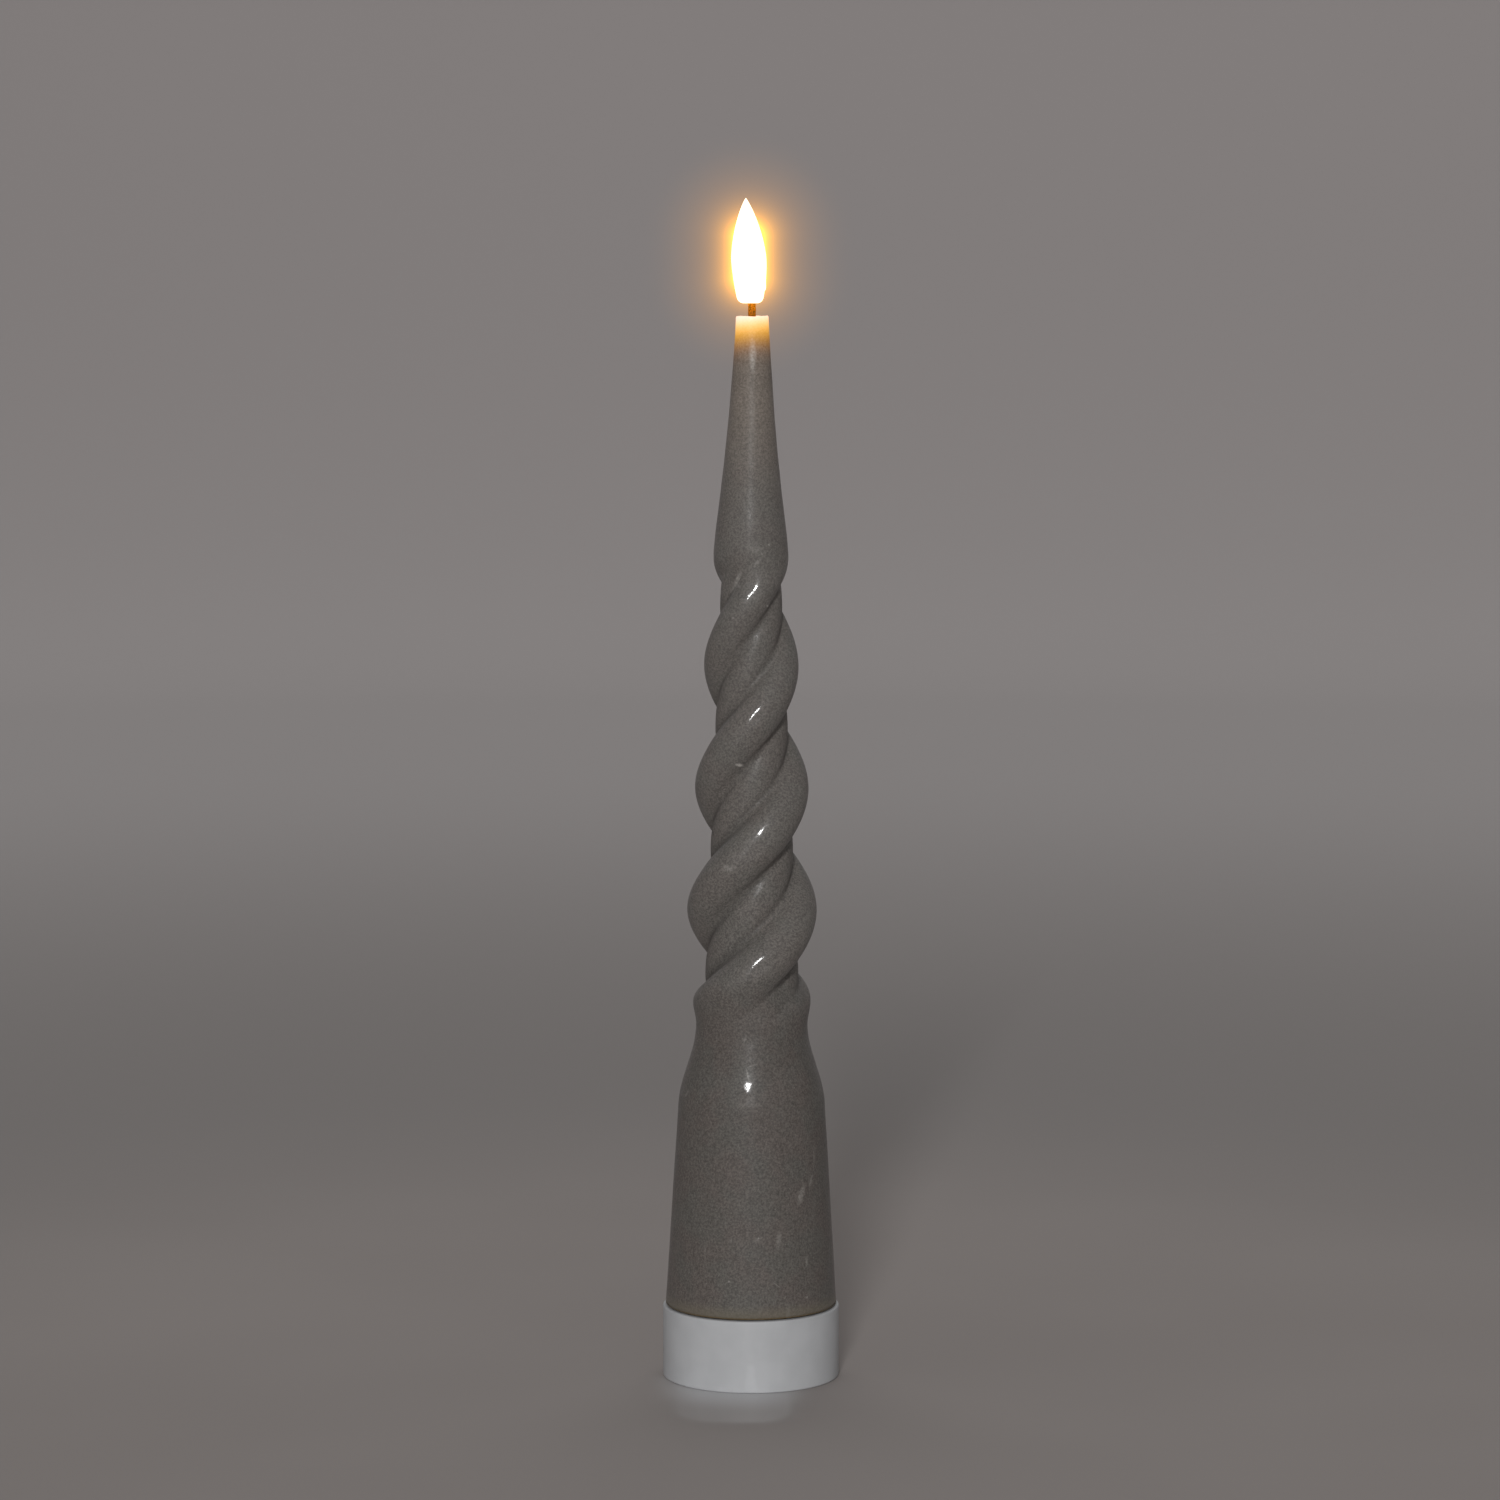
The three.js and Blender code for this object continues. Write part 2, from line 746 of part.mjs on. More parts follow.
function stemTube() {
  return turned([
    [stemBottomRadius - stemWall, stemBottom],
    [stemBottomRadius, stemBottom],
    [stemBottomRadius, stemBottom + stemStraight],
    [stemTopRadius, stemTop],
    [stemTopRadius - stemWall, stemTop],
    [stemBottomRadius - stemWall, stemBottom + stemStraight],
  ], tubeSteps);
}

// Plug in the top of the stem, with a socket for the wick and a bore for the lamp's legs
function wickHolder() {
  const flangeBottom = stemTop + seat;
  const body = turned([
    [0, stemTop - spigotLength],
    [stemTopRadius - stemWall - fit, stemTop - spigotLength],
    [stemTopRadius - stemWall - fit, flangeBottom],
    [stemTopRadius, flangeBottom],
    [stemTopRadius, holderTop],
    [0, holderTop],
  ], tubeSteps);
  const bore = rod(wickBore, stemTop - spigotLength - past, holderTop + past, wickOffset);
  const socket = rod(wickRadius + fit / 2, flangeBottom + fit, holderTop + past, wickOffset);
  return cut(body, bore, socket);
}

function wickSleeve() {
  const bottom = stemTop + 2 * seat + fit;
  const top = lampSeat + seatHeight / 2;
  const tube = rod(wickRadius, bottom, top, wickOffset);
  return cut(tube, rod(wickBore, bottom - past, top + past, wickOffset));
}

// Flame

// Half outline of the flame from the mouth to the tip, or of its hollow at a wall's inset
function flameOutline(inset) {
  const curve = new THREE.SplineCurve([
    new THREE.Vector2(flameMouth, 0),
    new THREE.Vector2(flameRadius * 0.8, flameHeight * 0.07),
    new THREE.Vector2(flameRadius * 0.94, flameHeight * 0.2),
    new THREE.Vector2(flameRadius, flameHeight * 0.38),
    new THREE.Vector2(flameRadius * 0.87, flameHeight * 0.62),
    new THREE.Vector2(flameRadius * 0.51, flameHeight * 0.85),
    new THREE.Vector2(flameRadius * 0.1, flameHeight),
  ]);
  const points = curve.getPoints(14);
  if (inset === 0) return points;
  const leastRadius = 0.3;
  const inside = points
    .filter((point) => point.x > inset + leastRadius && point.y > 2 * inset)
    .map((point) => new THREE.Vector2(point.x - inset, point.y));
  return [new THREE.Vector2(inside[0].x, inset), ...inside];
}

function flameBody(inset) {
  return lofted(flameOutline(inset).map((point) => {
    const middle = flameStart + (flameLean * point.y) / flameHeight;
    return Array.from({ length: smallSteps }, (_, i) => {
      const angle = (2 * Math.PI * i) / smallSteps;
      return new THREE.Vector3(middle + point.x * Math.sin(angle), -point.x * Math.cos(angle),
        flameBottom + point.y);
    });
  }));
}

function flameLens() {
  const mouth = rod(wickRadius + fit, flameBottom - past, lampSeat, wickOffset);
  return cut(flameBody(0), flameBody(flameWall), mouth);
}

function ledSeat() {
  const disc = rod(seatRadius, lampSeat, lampSeat + seatHeight, wickOffset);
  const bore = rod(wickBore, lampSeat - past, lampSeat + seatHeight + past, wickOffset);
  const socket = rod(wickRadius + fit / 2, lampSeat - past, lampSeat + seatHeight / 2 + seat, wickOffset);
  return cut(disc, bore, socket);
}

// Lamp with a domed top and two long legs that run down through the wick
function flameLed() {
  const domeSteps = 5;
  const domeBottom = lampBottom + ledBody;
  const dome = Array.from({ length: domeSteps }, (_, i) => {
    const angle = (Math.PI / 2) * (i / domeSteps);
    return [ledRadius * Math.cos(angle), domeBottom + ledRadius * Math.sin(angle)];
  });
  const outline = [[0, lampBottom], [ledRadius, lampBottom], ...dome, [0, domeBottom + ledRadius]];
  const body = turned(outline, smallSteps);
  const legs = [-1, 1].map((side) => (
    rod(legRadius, legBottom(), lampBottom + seat, (side * legSpread) / 2, 0, legSteps)));
  return join(body, ...legs).translate([wickOffset, 0, 0]);
}

function legBottom() {
  return stemTop - 2 * spigotLength;
}

// Wire along the stem, from its pad on the control board to the lamp's leg. Its points between
// the two straight ends are chosen by hand, as [sideways, backwards, height].
function wire(side) {
  const top = legBottom() - fit;
  const padX = wirePadSpread / 2;
  const topX = wireTopSpread / 2;
  const route = [
    [padX, -wirePadDepth, controlBoardTop + fit],
    [padX, -wirePadDepth, controlBoardTop + wireStraight],
    [1.8, -1.6, footTop - 5],
    [1.3, -0.4, footTop + 4],
    [1.1, 0.4, mix(footTop, top, 0.35)],
    [0.9, 0.1, mix(footTop, top, 0.7)],
    [topX + side * wickOffset, 0, top - 2 * wireStraight],
    [topX + side * wickOffset, 0, top],
  ];
  const path = new THREE.CatmullRomCurve3(route.map(([x, y, z]) => new THREE.Vector3(side * x, y, z)));
  const section = new THREE.Shape();
  section.absarc(0, 0, wireRadius, 0, 2 * Math.PI, false);
  return toSolid(new THREE.ExtrudeGeometry(section, {
    steps: 32,
    extrudePath: path,
    bevelEnabled: false,
    curveSegments: 4,
  }));
}

// Finishes
const finishes = {
  wax: { color: 0x625e5a, roughness: 0.38, metalness: 0 },
  whitePlastic: { color: 0xe6e6e4, roughness: 0.45, metalness: 0 },
  ivoryPlastic: { color: 0xd8d4c8, roughness: 0.5, metalness: 0 },
  blackPlastic: { color: 0x1c1b1a, roughness: 0.5, metalness: 0 },
  wick: { color: 0x2a211a, roughness: 0.8, metalness: 0 },
  flame: { color: 0xfff0cf, roughness: 0.3, metalness: 0, emissive: 0xffc070 },
  lamp: { color: 0xf6e6b0, roughness: 0.2, metalness: 0 },
  board: { color: 0x1f5a38, roughness: 0.45, metalness: 0 },
  steel: { color: 0xb9bcc0, roughness: 0.3, metalness: 1 },
  redWire: { color: 0xb02018, roughness: 0.5, metalness: 0 },
  cell: { color: 0x3b4a55, roughness: 0.35, metalness: 0.6 },
  ceramic: { color: 0xa58a66, roughness: 0.6, metalness: 0 },
};

const candle = new THREE.Group();

function add(name, solid, finish) {
  const mesh = new THREE.Mesh(toGeometry(solid), new THREE.MeshStandardMaterial(finishes[finish]));
  mesh.name = name;
  candle.add(mesh);
}

add('locking_ring', lockingRing(), 'whitePlastic');
add('contact_carrier', contactCarrier(), 'ivoryPlastic');
add('switch_case', switchCase(), 'steel');
add('switch_knob', switchKnob(), 'blackPlastic');
add('switch_board', switchBoard(), 'board');
add('carrier_screw_1', screw(switchBoardTop, -1), 'steel');
add('carrier_screw_2', screw(switchBoardTop, 1), 'steel');
add('lower_negative_spring', contactSpring(-cellOffset, lowerContact, 1, 'lower spring'), 'steel');
add('lower_positive_plate', contactPlate(cellOffset, lowerContact), 'steel');
add('battery_housing', batteryHousing(), 'ivoryPlastic');
add('battery_cell_1', batteryCell(-cellOffset, firstCellBottom, true), 'cell');
add('battery_cell_2', batteryCell(cellOffset, secondCellBottom, false), 'cell');
add('upper_positive_plate', contactPlate(-cellOffset, firstCellTop + seat), 'steel');
const upperSpringFace = secondCellTop + seat + springHeight;
add('upper_negative_spring', contactSpring(cellOffset, upperSpringFace, -1, 'upper spring'), 'steel');
add('control_board', controlBoard(), 'board');
add('board_screw_1', screw(controlBoardTop, -1), 'steel');
add('board_screw_2', screw(controlBoardTop, 1), 'steel');
add('timer_chip', timerChip(), 'blackPlastic');
add('timing_crystal', timingCrystal(), 'steel');
add('led_resistor', surfacePart(resistorSize, resistorPlace), 'blackPlastic');
add('supply_capacitor', surfacePart(capacitorSize, capacitorPlace), 'ceramic');
add('stem_foot', stemFoot(), 'ivoryPlastic');
add('stem_tube', stemTube(), 'ivoryPlastic');
add('wick_holder', wickHolder(), 'ivoryPlastic');
add('wick_sleeve', wickSleeve(), 'wick');
add('red_wire', wire(1), 'redWire');
add('black_wire', wire(-1), 'blackPlastic');
add('led_seat', ledSeat(), 'ivoryPlastic');
add('flame_led', flameLed(), 'lamp');
add('flame_lens', flameLens(), 'flame');
add('wax_shell', waxShell(), 'wax');

export default candle;
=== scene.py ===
# The looks of a battery dinner candle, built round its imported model.
# Sizes are in millimetres, in the model's frame. MM turns them into Blender's metres.
import math

import bpy
import numpy as np
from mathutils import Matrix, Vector, noise


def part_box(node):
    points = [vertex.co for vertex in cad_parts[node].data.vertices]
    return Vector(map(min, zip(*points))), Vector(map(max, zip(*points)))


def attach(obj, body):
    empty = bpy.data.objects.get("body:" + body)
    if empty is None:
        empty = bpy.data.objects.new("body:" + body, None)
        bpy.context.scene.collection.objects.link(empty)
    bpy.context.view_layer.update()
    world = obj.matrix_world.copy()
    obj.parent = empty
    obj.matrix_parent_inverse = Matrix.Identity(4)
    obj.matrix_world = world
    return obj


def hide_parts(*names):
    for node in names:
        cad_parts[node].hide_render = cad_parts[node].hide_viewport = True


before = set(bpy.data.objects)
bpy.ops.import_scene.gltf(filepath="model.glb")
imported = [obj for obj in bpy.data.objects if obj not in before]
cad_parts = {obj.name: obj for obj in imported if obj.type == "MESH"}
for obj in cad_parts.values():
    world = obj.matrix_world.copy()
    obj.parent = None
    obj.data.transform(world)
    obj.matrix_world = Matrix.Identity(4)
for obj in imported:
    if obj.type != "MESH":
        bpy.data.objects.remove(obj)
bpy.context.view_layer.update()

MM = 0.001


def span(node):
    """Lowest and highest corner of a node at rest."""
    low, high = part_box(node)
    return low / MM, high / MM


# Heights and radii that the frame gives
WAX_BOTTOM, WAX_TOP = span("wax_shell")[0].z, span("wax_shell")[1].z
RING_RADIUS, RING_HEIGHT = span("locking_ring")[1].x, span("locking_ring")[1].z
SKIRT_RADIUS = span("battery_housing")[1].x
BAY_RADIUS = span("stem_foot")[1].x
FOOT_TOP = span("stem_tube")[0].z
HOLDER_TOP = span("wick_holder")[1].z
FLAME_BOTTOM, FLAME_TOP = span("flame_lens")[0].z, span("flame_lens")[1].z
SLEEVE_BOTTOM, SLEEVE_TOP = span("wick_sleeve")[0].z, span("wick_sleeve")[1].z

# Wax outline, as in the model's source
FIT = 0.3
WAX_SETBACK = 0.6
BELL_TOP_WAX = 2.9
NECK_RADIUS = 11.95
SHOULDER_HEIGHT = 18
TWIST_HEIGHT = 102.4
CONE_HEIGHT = 49
CONE_BOTTOM_RADIUS = 8.05
CONE_COLLAR = 8.1
COLLAR_FILLET = 0.8
CONE_TOP_RADIUS = 3.45
CONE_STRAIGHTNESS = 0.51
WAX_EDGE = 0.25
RIM_EDGE = 0.3
DISH_DEPTH = 0.5
SKIRT_TOP = RING_HEIGHT + 4.5

# Twist of two round strands on a core
STRANDS = 2
TWIST_LEAD = 53
STRAND_START = math.radians(96.7)
STRAND_BOTTOM_REACH = 15.26
STRAND_TOP_REACH = 7.89
STRAND_BOW = 0.58
STRAND_OFFSET = 0.446
CORE_BOTTOM_RADIUS = 10.46
CORE_TOP_RADIUS = 6.1
CORE_OFFSET = 0.05
GROOVE_FILLET = 0.9
FURROW_DEPTH = 0.8
FURROW_ANGLE = math.radians(51)
FURROW_STRAND_SIDE = math.radians(7)
FURROW_CORE_SIDE = math.radians(17)
STRAND_RISE = 11.5
STRAND_FADE = 10

# Heights and radii that follow
TWIST_TOP = WAX_TOP - CONE_HEIGHT
NECK = TWIST_TOP - TWIST_HEIGHT
BELL_TOP = NECK - SHOULDER_HEIGHT
WAX_RADIUS = RING_RADIUS - WAX_SETBACK
BELL_TOP_RADIUS = BAY_RADIUS + FIT + BELL_TOP_WAX

# What the hand-made wax adds to that outline: a lean and a bow
TIP_LEAN = 0.25
WAX_BOW = 0.2

# Its small unevenness: how far in or out, with the size of its lumps
UNEVEN = ((0.05, 17), (0.035, 6), (0.012, 2))

# The lumps of its rim: how far up or down, their size, how far below the top they begin, and the
# height at which their noise is read
RIM_LUMP = 0.16
RIM_LUMP_SIZE = 2.2
RIM_LUMP_REACH = 1.5
RIM_LUMP_PLACE = 9.0

# Share of the way from the rim to the wick at which the dish is at its full depth
DISH_SLOPE = 0.8

# Where wax has run on the front of the shoulder: a swell with a hollow below it
FRONT_WIDTH = 8.5
FRONT_SWELL = 0.455
FRONT_SWELL_HEIGHT = 72.5
FRONT_SWELL_SIZE = 5.1
FRONT_HOLLOW = 0.41
FRONT_HOLLOW_HEIGHT = 63.45
FRONT_HOLLOW_SIZE = 6.8

# Smooth places on the front, pressed so that they face the window. In millimetres: across, up,
# lean in degrees, half the length, half the width, how far in, and the bends along and across.
PRESSED = (
    (-0.17, 169.3, 49.5, 2.8, 1.8, 0.13, 0.047, 0.22),
    (0.9, 144.5, 48.5, 2.9, 1.5, -0.03, 0, 0.33),
    (2.1, 119.4, 49.5, 6.9, 2.9, 0.01, 0.04, 0.2),
    (1.6, 92.1, 39, 3.0, 2.1, -0.16, 0, 0.3),
    (-0.7, 64.7, 130, 1.45, 1.34, -0.048, 0.045, 0.023),
)
PRESSED_SIDEWAYS = -0.051
PRESSED_UP = (0.284, 0.228)
PRESSED_UP_HEIGHTS = (65, 170)

# Hollow round the wick's holder, the stem and its foot, downwards: radius, and height above the
# top of the holder or of the foot
HOLDER_HOLLOW = ((2.8, FIT), (2.8, -1.4))
STEM_HOLLOW = ((4.9, 16), (4.9, 6.3), (6.1, 6.3), (6.4, -1), (9.6, -8))
BAY_HOLLOW_TOP = -14.4
HOLLOW_EDGE = 0.2

# Wick and its place
WICK_X = 0.2
WICK_RADIUS = 0.85
WICK_BORE = 0.6
WICK_COLUMNS = 48
WICK_ROWS = 90
WEAVE_STRANDS = 5
WEAVE_LEAD = 3.2
WEAVE_DEPTH = 0.05
WEAVE_SETBACK = 0.07
WICK_LUMP = 0.06
WICK_LUMP_SIZE = 0.7
WICK_LUMP_STRETCH = 0.9

# Mesh fineness
WAX_COLUMNS = 168
WAX_ROW = 0.5
ROUND_COLUMNS = 128
HALO_COLUMNS = 48
PAPER_COLUMNS = 96

# Edges sharper than this many degrees stay sharp: on pieces made here, and on the model's nodes
PIECE_SHARP = 40
NODE_SHARP = 30


# Number helpers

def mix(a, b, share):
    return a + (b - a) * share


def smoothstep(low, high, x):
    share = np.clip((x - low) / (high - low), 0, 1)
    return share * share * (3 - 2 * share)


def roughly(x, y, z, size):
    """Smooth noise from about -1 to 1, whose lumps are of that size."""
    return noise.noise(Vector((x, y, z)) / size)


# Mesh helpers

def circle(radius, height, columns, x=0.0):
    """Ring of points, counter-clockwise from above, its first point at the front."""
    angles = np.arange(columns) * 2 * math.pi / columns
    points = np.empty((columns, 3))
    points[:, 0] = x + radius * np.sin(angles)
    points[:, 1] = -radius * np.cos(angles)
    points[:, 2] = height
    return points


def arc(radius, height, bend, start, end, steps):
    """Points of a rounded corner round a middle, as (radius, height), its angles in degrees."""
    angles = np.radians(np.linspace(start, end, steps))
    return [(radius + bend * math.cos(a), height + bend * math.sin(a)) for a in angles]


def bands(rings, loop=False):
    """Faces from each ring of points to the next, and for a loop from the last to the first."""
    columns = len(rings[0])
    rows = len(rings)
    here = np.arange(columns)
    beside = np.roll(here, -1)
    faces = []
    for row in range(rows if loop else rows - 1):
        low = row * columns
        high = ((row + 1) % rows) * columns
        faces += np.stack([low + here, low + beside, high + beside, high + here], 1).tolist()
    return faces


def skin(name, rings, loop=False):
    """A mesh through rings of points. It comes to a point at both ends, or is closed as a loop."""
    points = np.concatenate(rings)
    faces = bands(rings, loop)
    if not loop:
        columns = len(rings[0])
        here = range(columns)
        low_end, high_end = len(points), len(points) + 1
        top = len(points) - columns
        points = np.concatenate([points, [rings[0].mean(0), rings[-1].mean(0)]])
        faces += [[low_end, (a + 1) % columns, a] for a in here]
        faces += [[high_end, top + a, top + (a + 1) % columns] for a in here]
    mesh = bpy.data.meshes.new(name)
    mesh.from_pydata((points * MM).tolist(), [], faces)
    mesh.validate()
    return mesh


def sheet(name, rings):
    """A mesh through rings of points, closed only in its middle."""
    faces = bands(rings)
    faces.append(list(range(len(rings[0]))))
    mesh = bpy.data.meshes.new(name)
    mesh.from_pydata((np.concatenate(rings) * MM).tolist(), [], faces)
    return mesh


def placed(name, mesh, finish):
    """An object in the scene with that mesh and finish."""
    made = bpy.data.objects.new(name, mesh)
    bpy.context.scene.collection.objects.link(made)
    made.data.materials.append(finish)
    return made


def piece(name, mesh, body, slot, finish, *nodes, sharp=PIECE_SHARP):
    """Adds a mesh as a piece that rides on a body and stands for the named nodes."""
    made = placed(name, mesh, finish)
    soften(made, sharp)
    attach(made, body)
    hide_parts(*nodes)
    return made


def joined(*meshes):
    """One mesh with the faces of all of them."""
    points, faces = [], []
    for mesh in meshes:
        faces += [[len(points) + index for index in face.vertices] for face in mesh.polygons]
        points += [vertex.co[:] for vertex in mesh.vertices]
    made = bpy.data.meshes.new(meshes[0].name)
    made.from_pydata(points, [], faces)
    return made


def soften(thing, sharp):
    """Smooth shading, but for edges sharper than that many degrees."""
    thing.data.polygons.foreach_set("use_smooth", [True] * len(thing.data.polygons))
    thing.data.set_sharp_from_angle(angle=math.radians(sharp))


def turned(outline, columns):
    """Rings of a turned shape from (radius, height) pairs."""
    return [circle(radius, height, columns) for radius, height in outline]


# Wax shape

def cone_radius(z):
    """Radius of the slim cone, which is cut to a collar at its low end."""
    share = (WAX_TOP - z) / CONE_HEIGHT
    curve = CONE_STRAIGHTNESS * share + (1 - CONE_STRAIGHTNESS) * share * share
    radius = mix(CONE_TOP_RADIUS, CONE_BOTTOM_RADIUS, curve)
    overlap = max(COLLAR_FILLET - abs(radius - CONE_COLLAR), 0) / COLLAR_FILLET
    return min(radius, CONE_COLLAR) - overlap * overlap * COLLAR_FILLET / 4


def bell_radius(z):
    """Radius of the straight foot and the shoulder above it."""
    if z < BELL_TOP:
        return mix(WAX_RADIUS, BELL_TOP_RADIUS, (z - WAX_BOTTOM) / (BELL_TOP - WAX_BOTTOM))
    return mix(BELL_TOP_RADIUS, NECK_RADIUS, smoothstep(BELL_TOP, NECK, z))


def plain_radius(z):
    return bell_radius(z) if z < (NECK + TWIST_TOP) / 2 else cone_radius(z)


def lobe(angle, reach, offset):
    """Distance from the axis to a circle through the given reach, its middle moved out."""
    across = offset * np.sin(angle)
    return offset * np.cos(angle) + np.sqrt(np.maximum((reach - offset) ** 2 - across**2, 0))


def wrapped(angle, spacing):
    """The angle from the nearest of some directions that are evenly spaced."""
    return (angle + spacing / 2) % spacing - spacing / 2


def twist_share(z):
    """How much of the twist there is at a height: none at the neck and at the cone."""
    risen = smoothstep(NECK, NECK + STRAND_RISE, z)
    return risen * (1 - smoothstep(TWIST_TOP - STRAND_FADE, TWIST_TOP, z))


def wax_radius(angle, z):
    """Radius of the wax at a height, and at angles from the middle of a strand."""
    share = twist_share(z)
    if share == 0:
        return np.full_like(angle, plain_radius(z))
    along = (z - NECK) / TWIST_HEIGHT
    full_reach = mix(STRAND_BOTTOM_REACH, STRAND_TOP_REACH, along)
    full_reach += 4 * STRAND_BOW * along * (1 - along)
    reach = mix(plain_radius(z), full_reach, share)
    core = mix(CORE_BOTTOM_RADIUS, CORE_TOP_RADIUS, along)
    spacing = 2 * math.pi / STRANDS
    strand = lobe(wrapped(angle, spacing), reach, STRAND_OFFSET * share * reach)
    ridge = lobe(wrapped(angle + spacing / 2, spacing), core, CORE_OFFSET * core)
    overlap = np.maximum(GROOVE_FILLET - np.abs(strand - ridge), 0) / GROOVE_FILLET
    off_furrow = np.abs(wrapped(angle, spacing)) - FURROW_ANGLE
    off_furrow /= np.where(off_furrow < 0, FURROW_STRAND_SIDE, FURROW_CORE_SIDE)
    furrow = FURROW_DEPTH * share * reach / STRAND_BOTTOM_REACH * np.exp(-off_furrow**2)
    return np.maximum(strand, ridge) + overlap**2 * GROOVE_FILLET / 4 - furrow


def wax_ring(z, inset=0.0):
    """Ring of points on the plain outside of the wax, or a little inside it."""
    turn = STRAND_START + 2 * math.pi * (min(max(z, NECK), TWIST_TOP) - NECK) / TWIST_LEAD
    angle = np.arange(WAX_COLUMNS) * 2 * math.pi / WAX_COLUMNS
    radius = wax_radius(angle, z) - inset
    x, y = radius * np.sin(angle + turn), -radius * np.cos(angle + turn)
    return np.stack([x, y, np.full_like(angle, z)], 1)


def hand_made(ring):
    """Leaves the small unevenness of cast and dipped wax on a ring of the outside."""
    radius = np.hypot(ring[:, 0], ring[:, 1])
    uneven = np.array([
        sum(depth * roughly(*point, size) for depth, size in UNEVEN) for point in ring
    ])
    uneven += np.where(ring[:, 1] < 0, front_run(ring[:, 0], ring[:, 2]), 0)
    grown = ring.copy()
    grown[:, :2] *= ((radius + uneven) / radius)[:, None]
    return grown


def front_run(x, z):
    """Swell and hollow on the front of the shoulder."""
    swell = np.exp(-(((z - FRONT_SWELL_HEIGHT) / FRONT_SWELL_SIZE) ** 2))
    hollow = np.exp(-(((z - FRONT_HOLLOW_HEIGHT) / FRONT_HOLLOW_SIZE) ** 2))
    return (FRONT_SWELL * swell - FRONT_HOLLOW * hollow) * np.exp(-((x / FRONT_WIDTH) ** 4))


def lean(ring):
    """Leans the tip of the wax a little to the right, and bows the length below it the same way."""
    leaned = ring.copy()
    height = ring[:, 2]
    leaned[:, 0] += TIP_LEAN * smoothstep(TWIST_TOP, WAX_TOP, height)
    along = np.clip((height - WAX_BOTTOM) / (TWIST_TOP - WAX_BOTTOM), 0, 1)
    leaned[:, 0] += WAX_BOW * np.sin(math.pi * along)
    return leaned


def front_depth(x, z):
    """Depth of the front of the leaned wax at one place."""
    ring = lean(hand_made(wax_ring(z)))
    front = ring[ring[:, 1] < 0]
    front = front[np.argsort(front[:, 0])]
    return np.interp(x, front[:, 0], front[:, 1])


def pressed(rings):
    """Presses the smooth places into the front of the wax."""
    rings = [ring.copy() for ring in rings]
    for x, z, lean_angle, length, width, inward, bend_along, bend_across in PRESSED:
        depth = front_depth(x, z) + inward
        slope_up = np.interp(z, PRESSED_UP_HEIGHTS, PRESSED_UP)
        turn = math.radians(lean_angle)
        for ring in rings:
            if abs(ring[0, 2] - z) > length + width:
                continue
            right, up = ring[:, 0] - x, ring[:, 2] - z
            along = right * math.cos(turn) + up * math.sin(turn)
            across = up * math.cos(turn) - right * math.sin(turn)
            smooth = depth + PRESSED_SIDEWAYS * right + slope_up * up
            smooth += (bend_along * along**2 + bend_across * across**2) / 2
            share = np.exp(-np.abs(along / length) ** 4 - np.abs(across / width) ** 4)
            share = np.where(ring[:, 1] < 0, share, 0)
            ring[:, 1] = mix(ring[:, 1], smooth, share)
    return rings


def lumpy_rim(ring, share):
    """Raises and sinks the rim where wax has run and set."""
    lumpy = ring.copy()
    lumps = [roughly(x, y, RIM_LUMP_PLACE, RIM_LUMP_SIZE) for x, y in ring[:, :2]]
    lumpy[:, 2] += share * RIM_LUMP * np.array(lumps)
    return lumpy


def wax_mesh():
    """The whole skin of the wax: up the outside, over the rim, and down the inside."""
    corner = np.radians(np.linspace(0, 90, 5))
    rows = round((WAX_TOP - WAX_BOTTOM) / WAX_ROW)
    rings = [
        wax_ring(WAX_BOTTOM + WAX_EDGE * (1 - math.sin(a)), WAX_EDGE * (1 - math.cos(a)))
        for a in corner
    ]
    rings += [
        wax_ring(z)
        for z in np.linspace(WAX_BOTTOM + WAX_EDGE, WAX_TOP - RIM_EDGE, rows)[1:-1]
    ]
    rings += [
        wax_ring(WAX_TOP - RIM_EDGE * (1 - math.sin(a)), RIM_EDGE * (1 - math.cos(a)))
        for a in corner
    ]
    outside = [
        lumpy_rim(ring, smoothstep(WAX_TOP - RIM_LUMP_REACH, WAX_TOP, ring[0, 2]))
        for ring in pressed([lean(hand_made(ring)) for ring in rings])
    ]
    return skin("wax_body", outside + wax_inside(outside[-1]), loop=True)


def wax_inside(rim):
    """Dish at the top, then the hollow for the wick, stem, foot, bay and skirt, downwards."""
    start = int(np.argmin(np.hypot(rim[:, 0], rim[:, 1] + CONE_TOP_RADIUS)))

    def level(radius, height):
        return np.roll(circle(radius, height, WAX_COLUMNS), start, axis=0)

    hole = WICK_X + WICK_RADIUS + FIT
    hole_ring = level(hole, WAX_TOP - DISH_DEPTH)
    dish = []
    for share in np.linspace(0.2, 1, 6):
        ring = mix(rim, hole_ring, share)
        ring[:, 2] = mix(rim[:, 2], WAX_TOP - DISH_DEPTH, smoothstep(0, DISH_SLOPE, share))
        dish.append(ring)
    bay, skirt = BAY_RADIUS + FIT, SKIRT_RADIUS + FIT
    hollow = [
        (hole, HOLDER_TOP + FIT),
        *((radius, HOLDER_TOP + up) for radius, up in HOLDER_HOLLOW),
        *((radius, FOOT_TOP + up) for radius, up in STEM_HOLLOW),
        (bay, FOOT_TOP + BAY_HOLLOW_TOP),
        (bay, SKIRT_TOP + FIT),
        (skirt, SKIRT_TOP + FIT),
        (skirt, WAX_BOTTOM + HOLLOW_EDGE),
        (skirt + HOLLOW_EDGE, WAX_BOTTOM),
    ]
    return dish + [level(radius, height) for radius, height in hollow]


# Base ring

RING_BORE = SKIRT_RADIUS + FIT
RING_BOTTOM_BEND = 0.45
RING_TOP_BEND = 0.35
RING_EDGE = 0.2

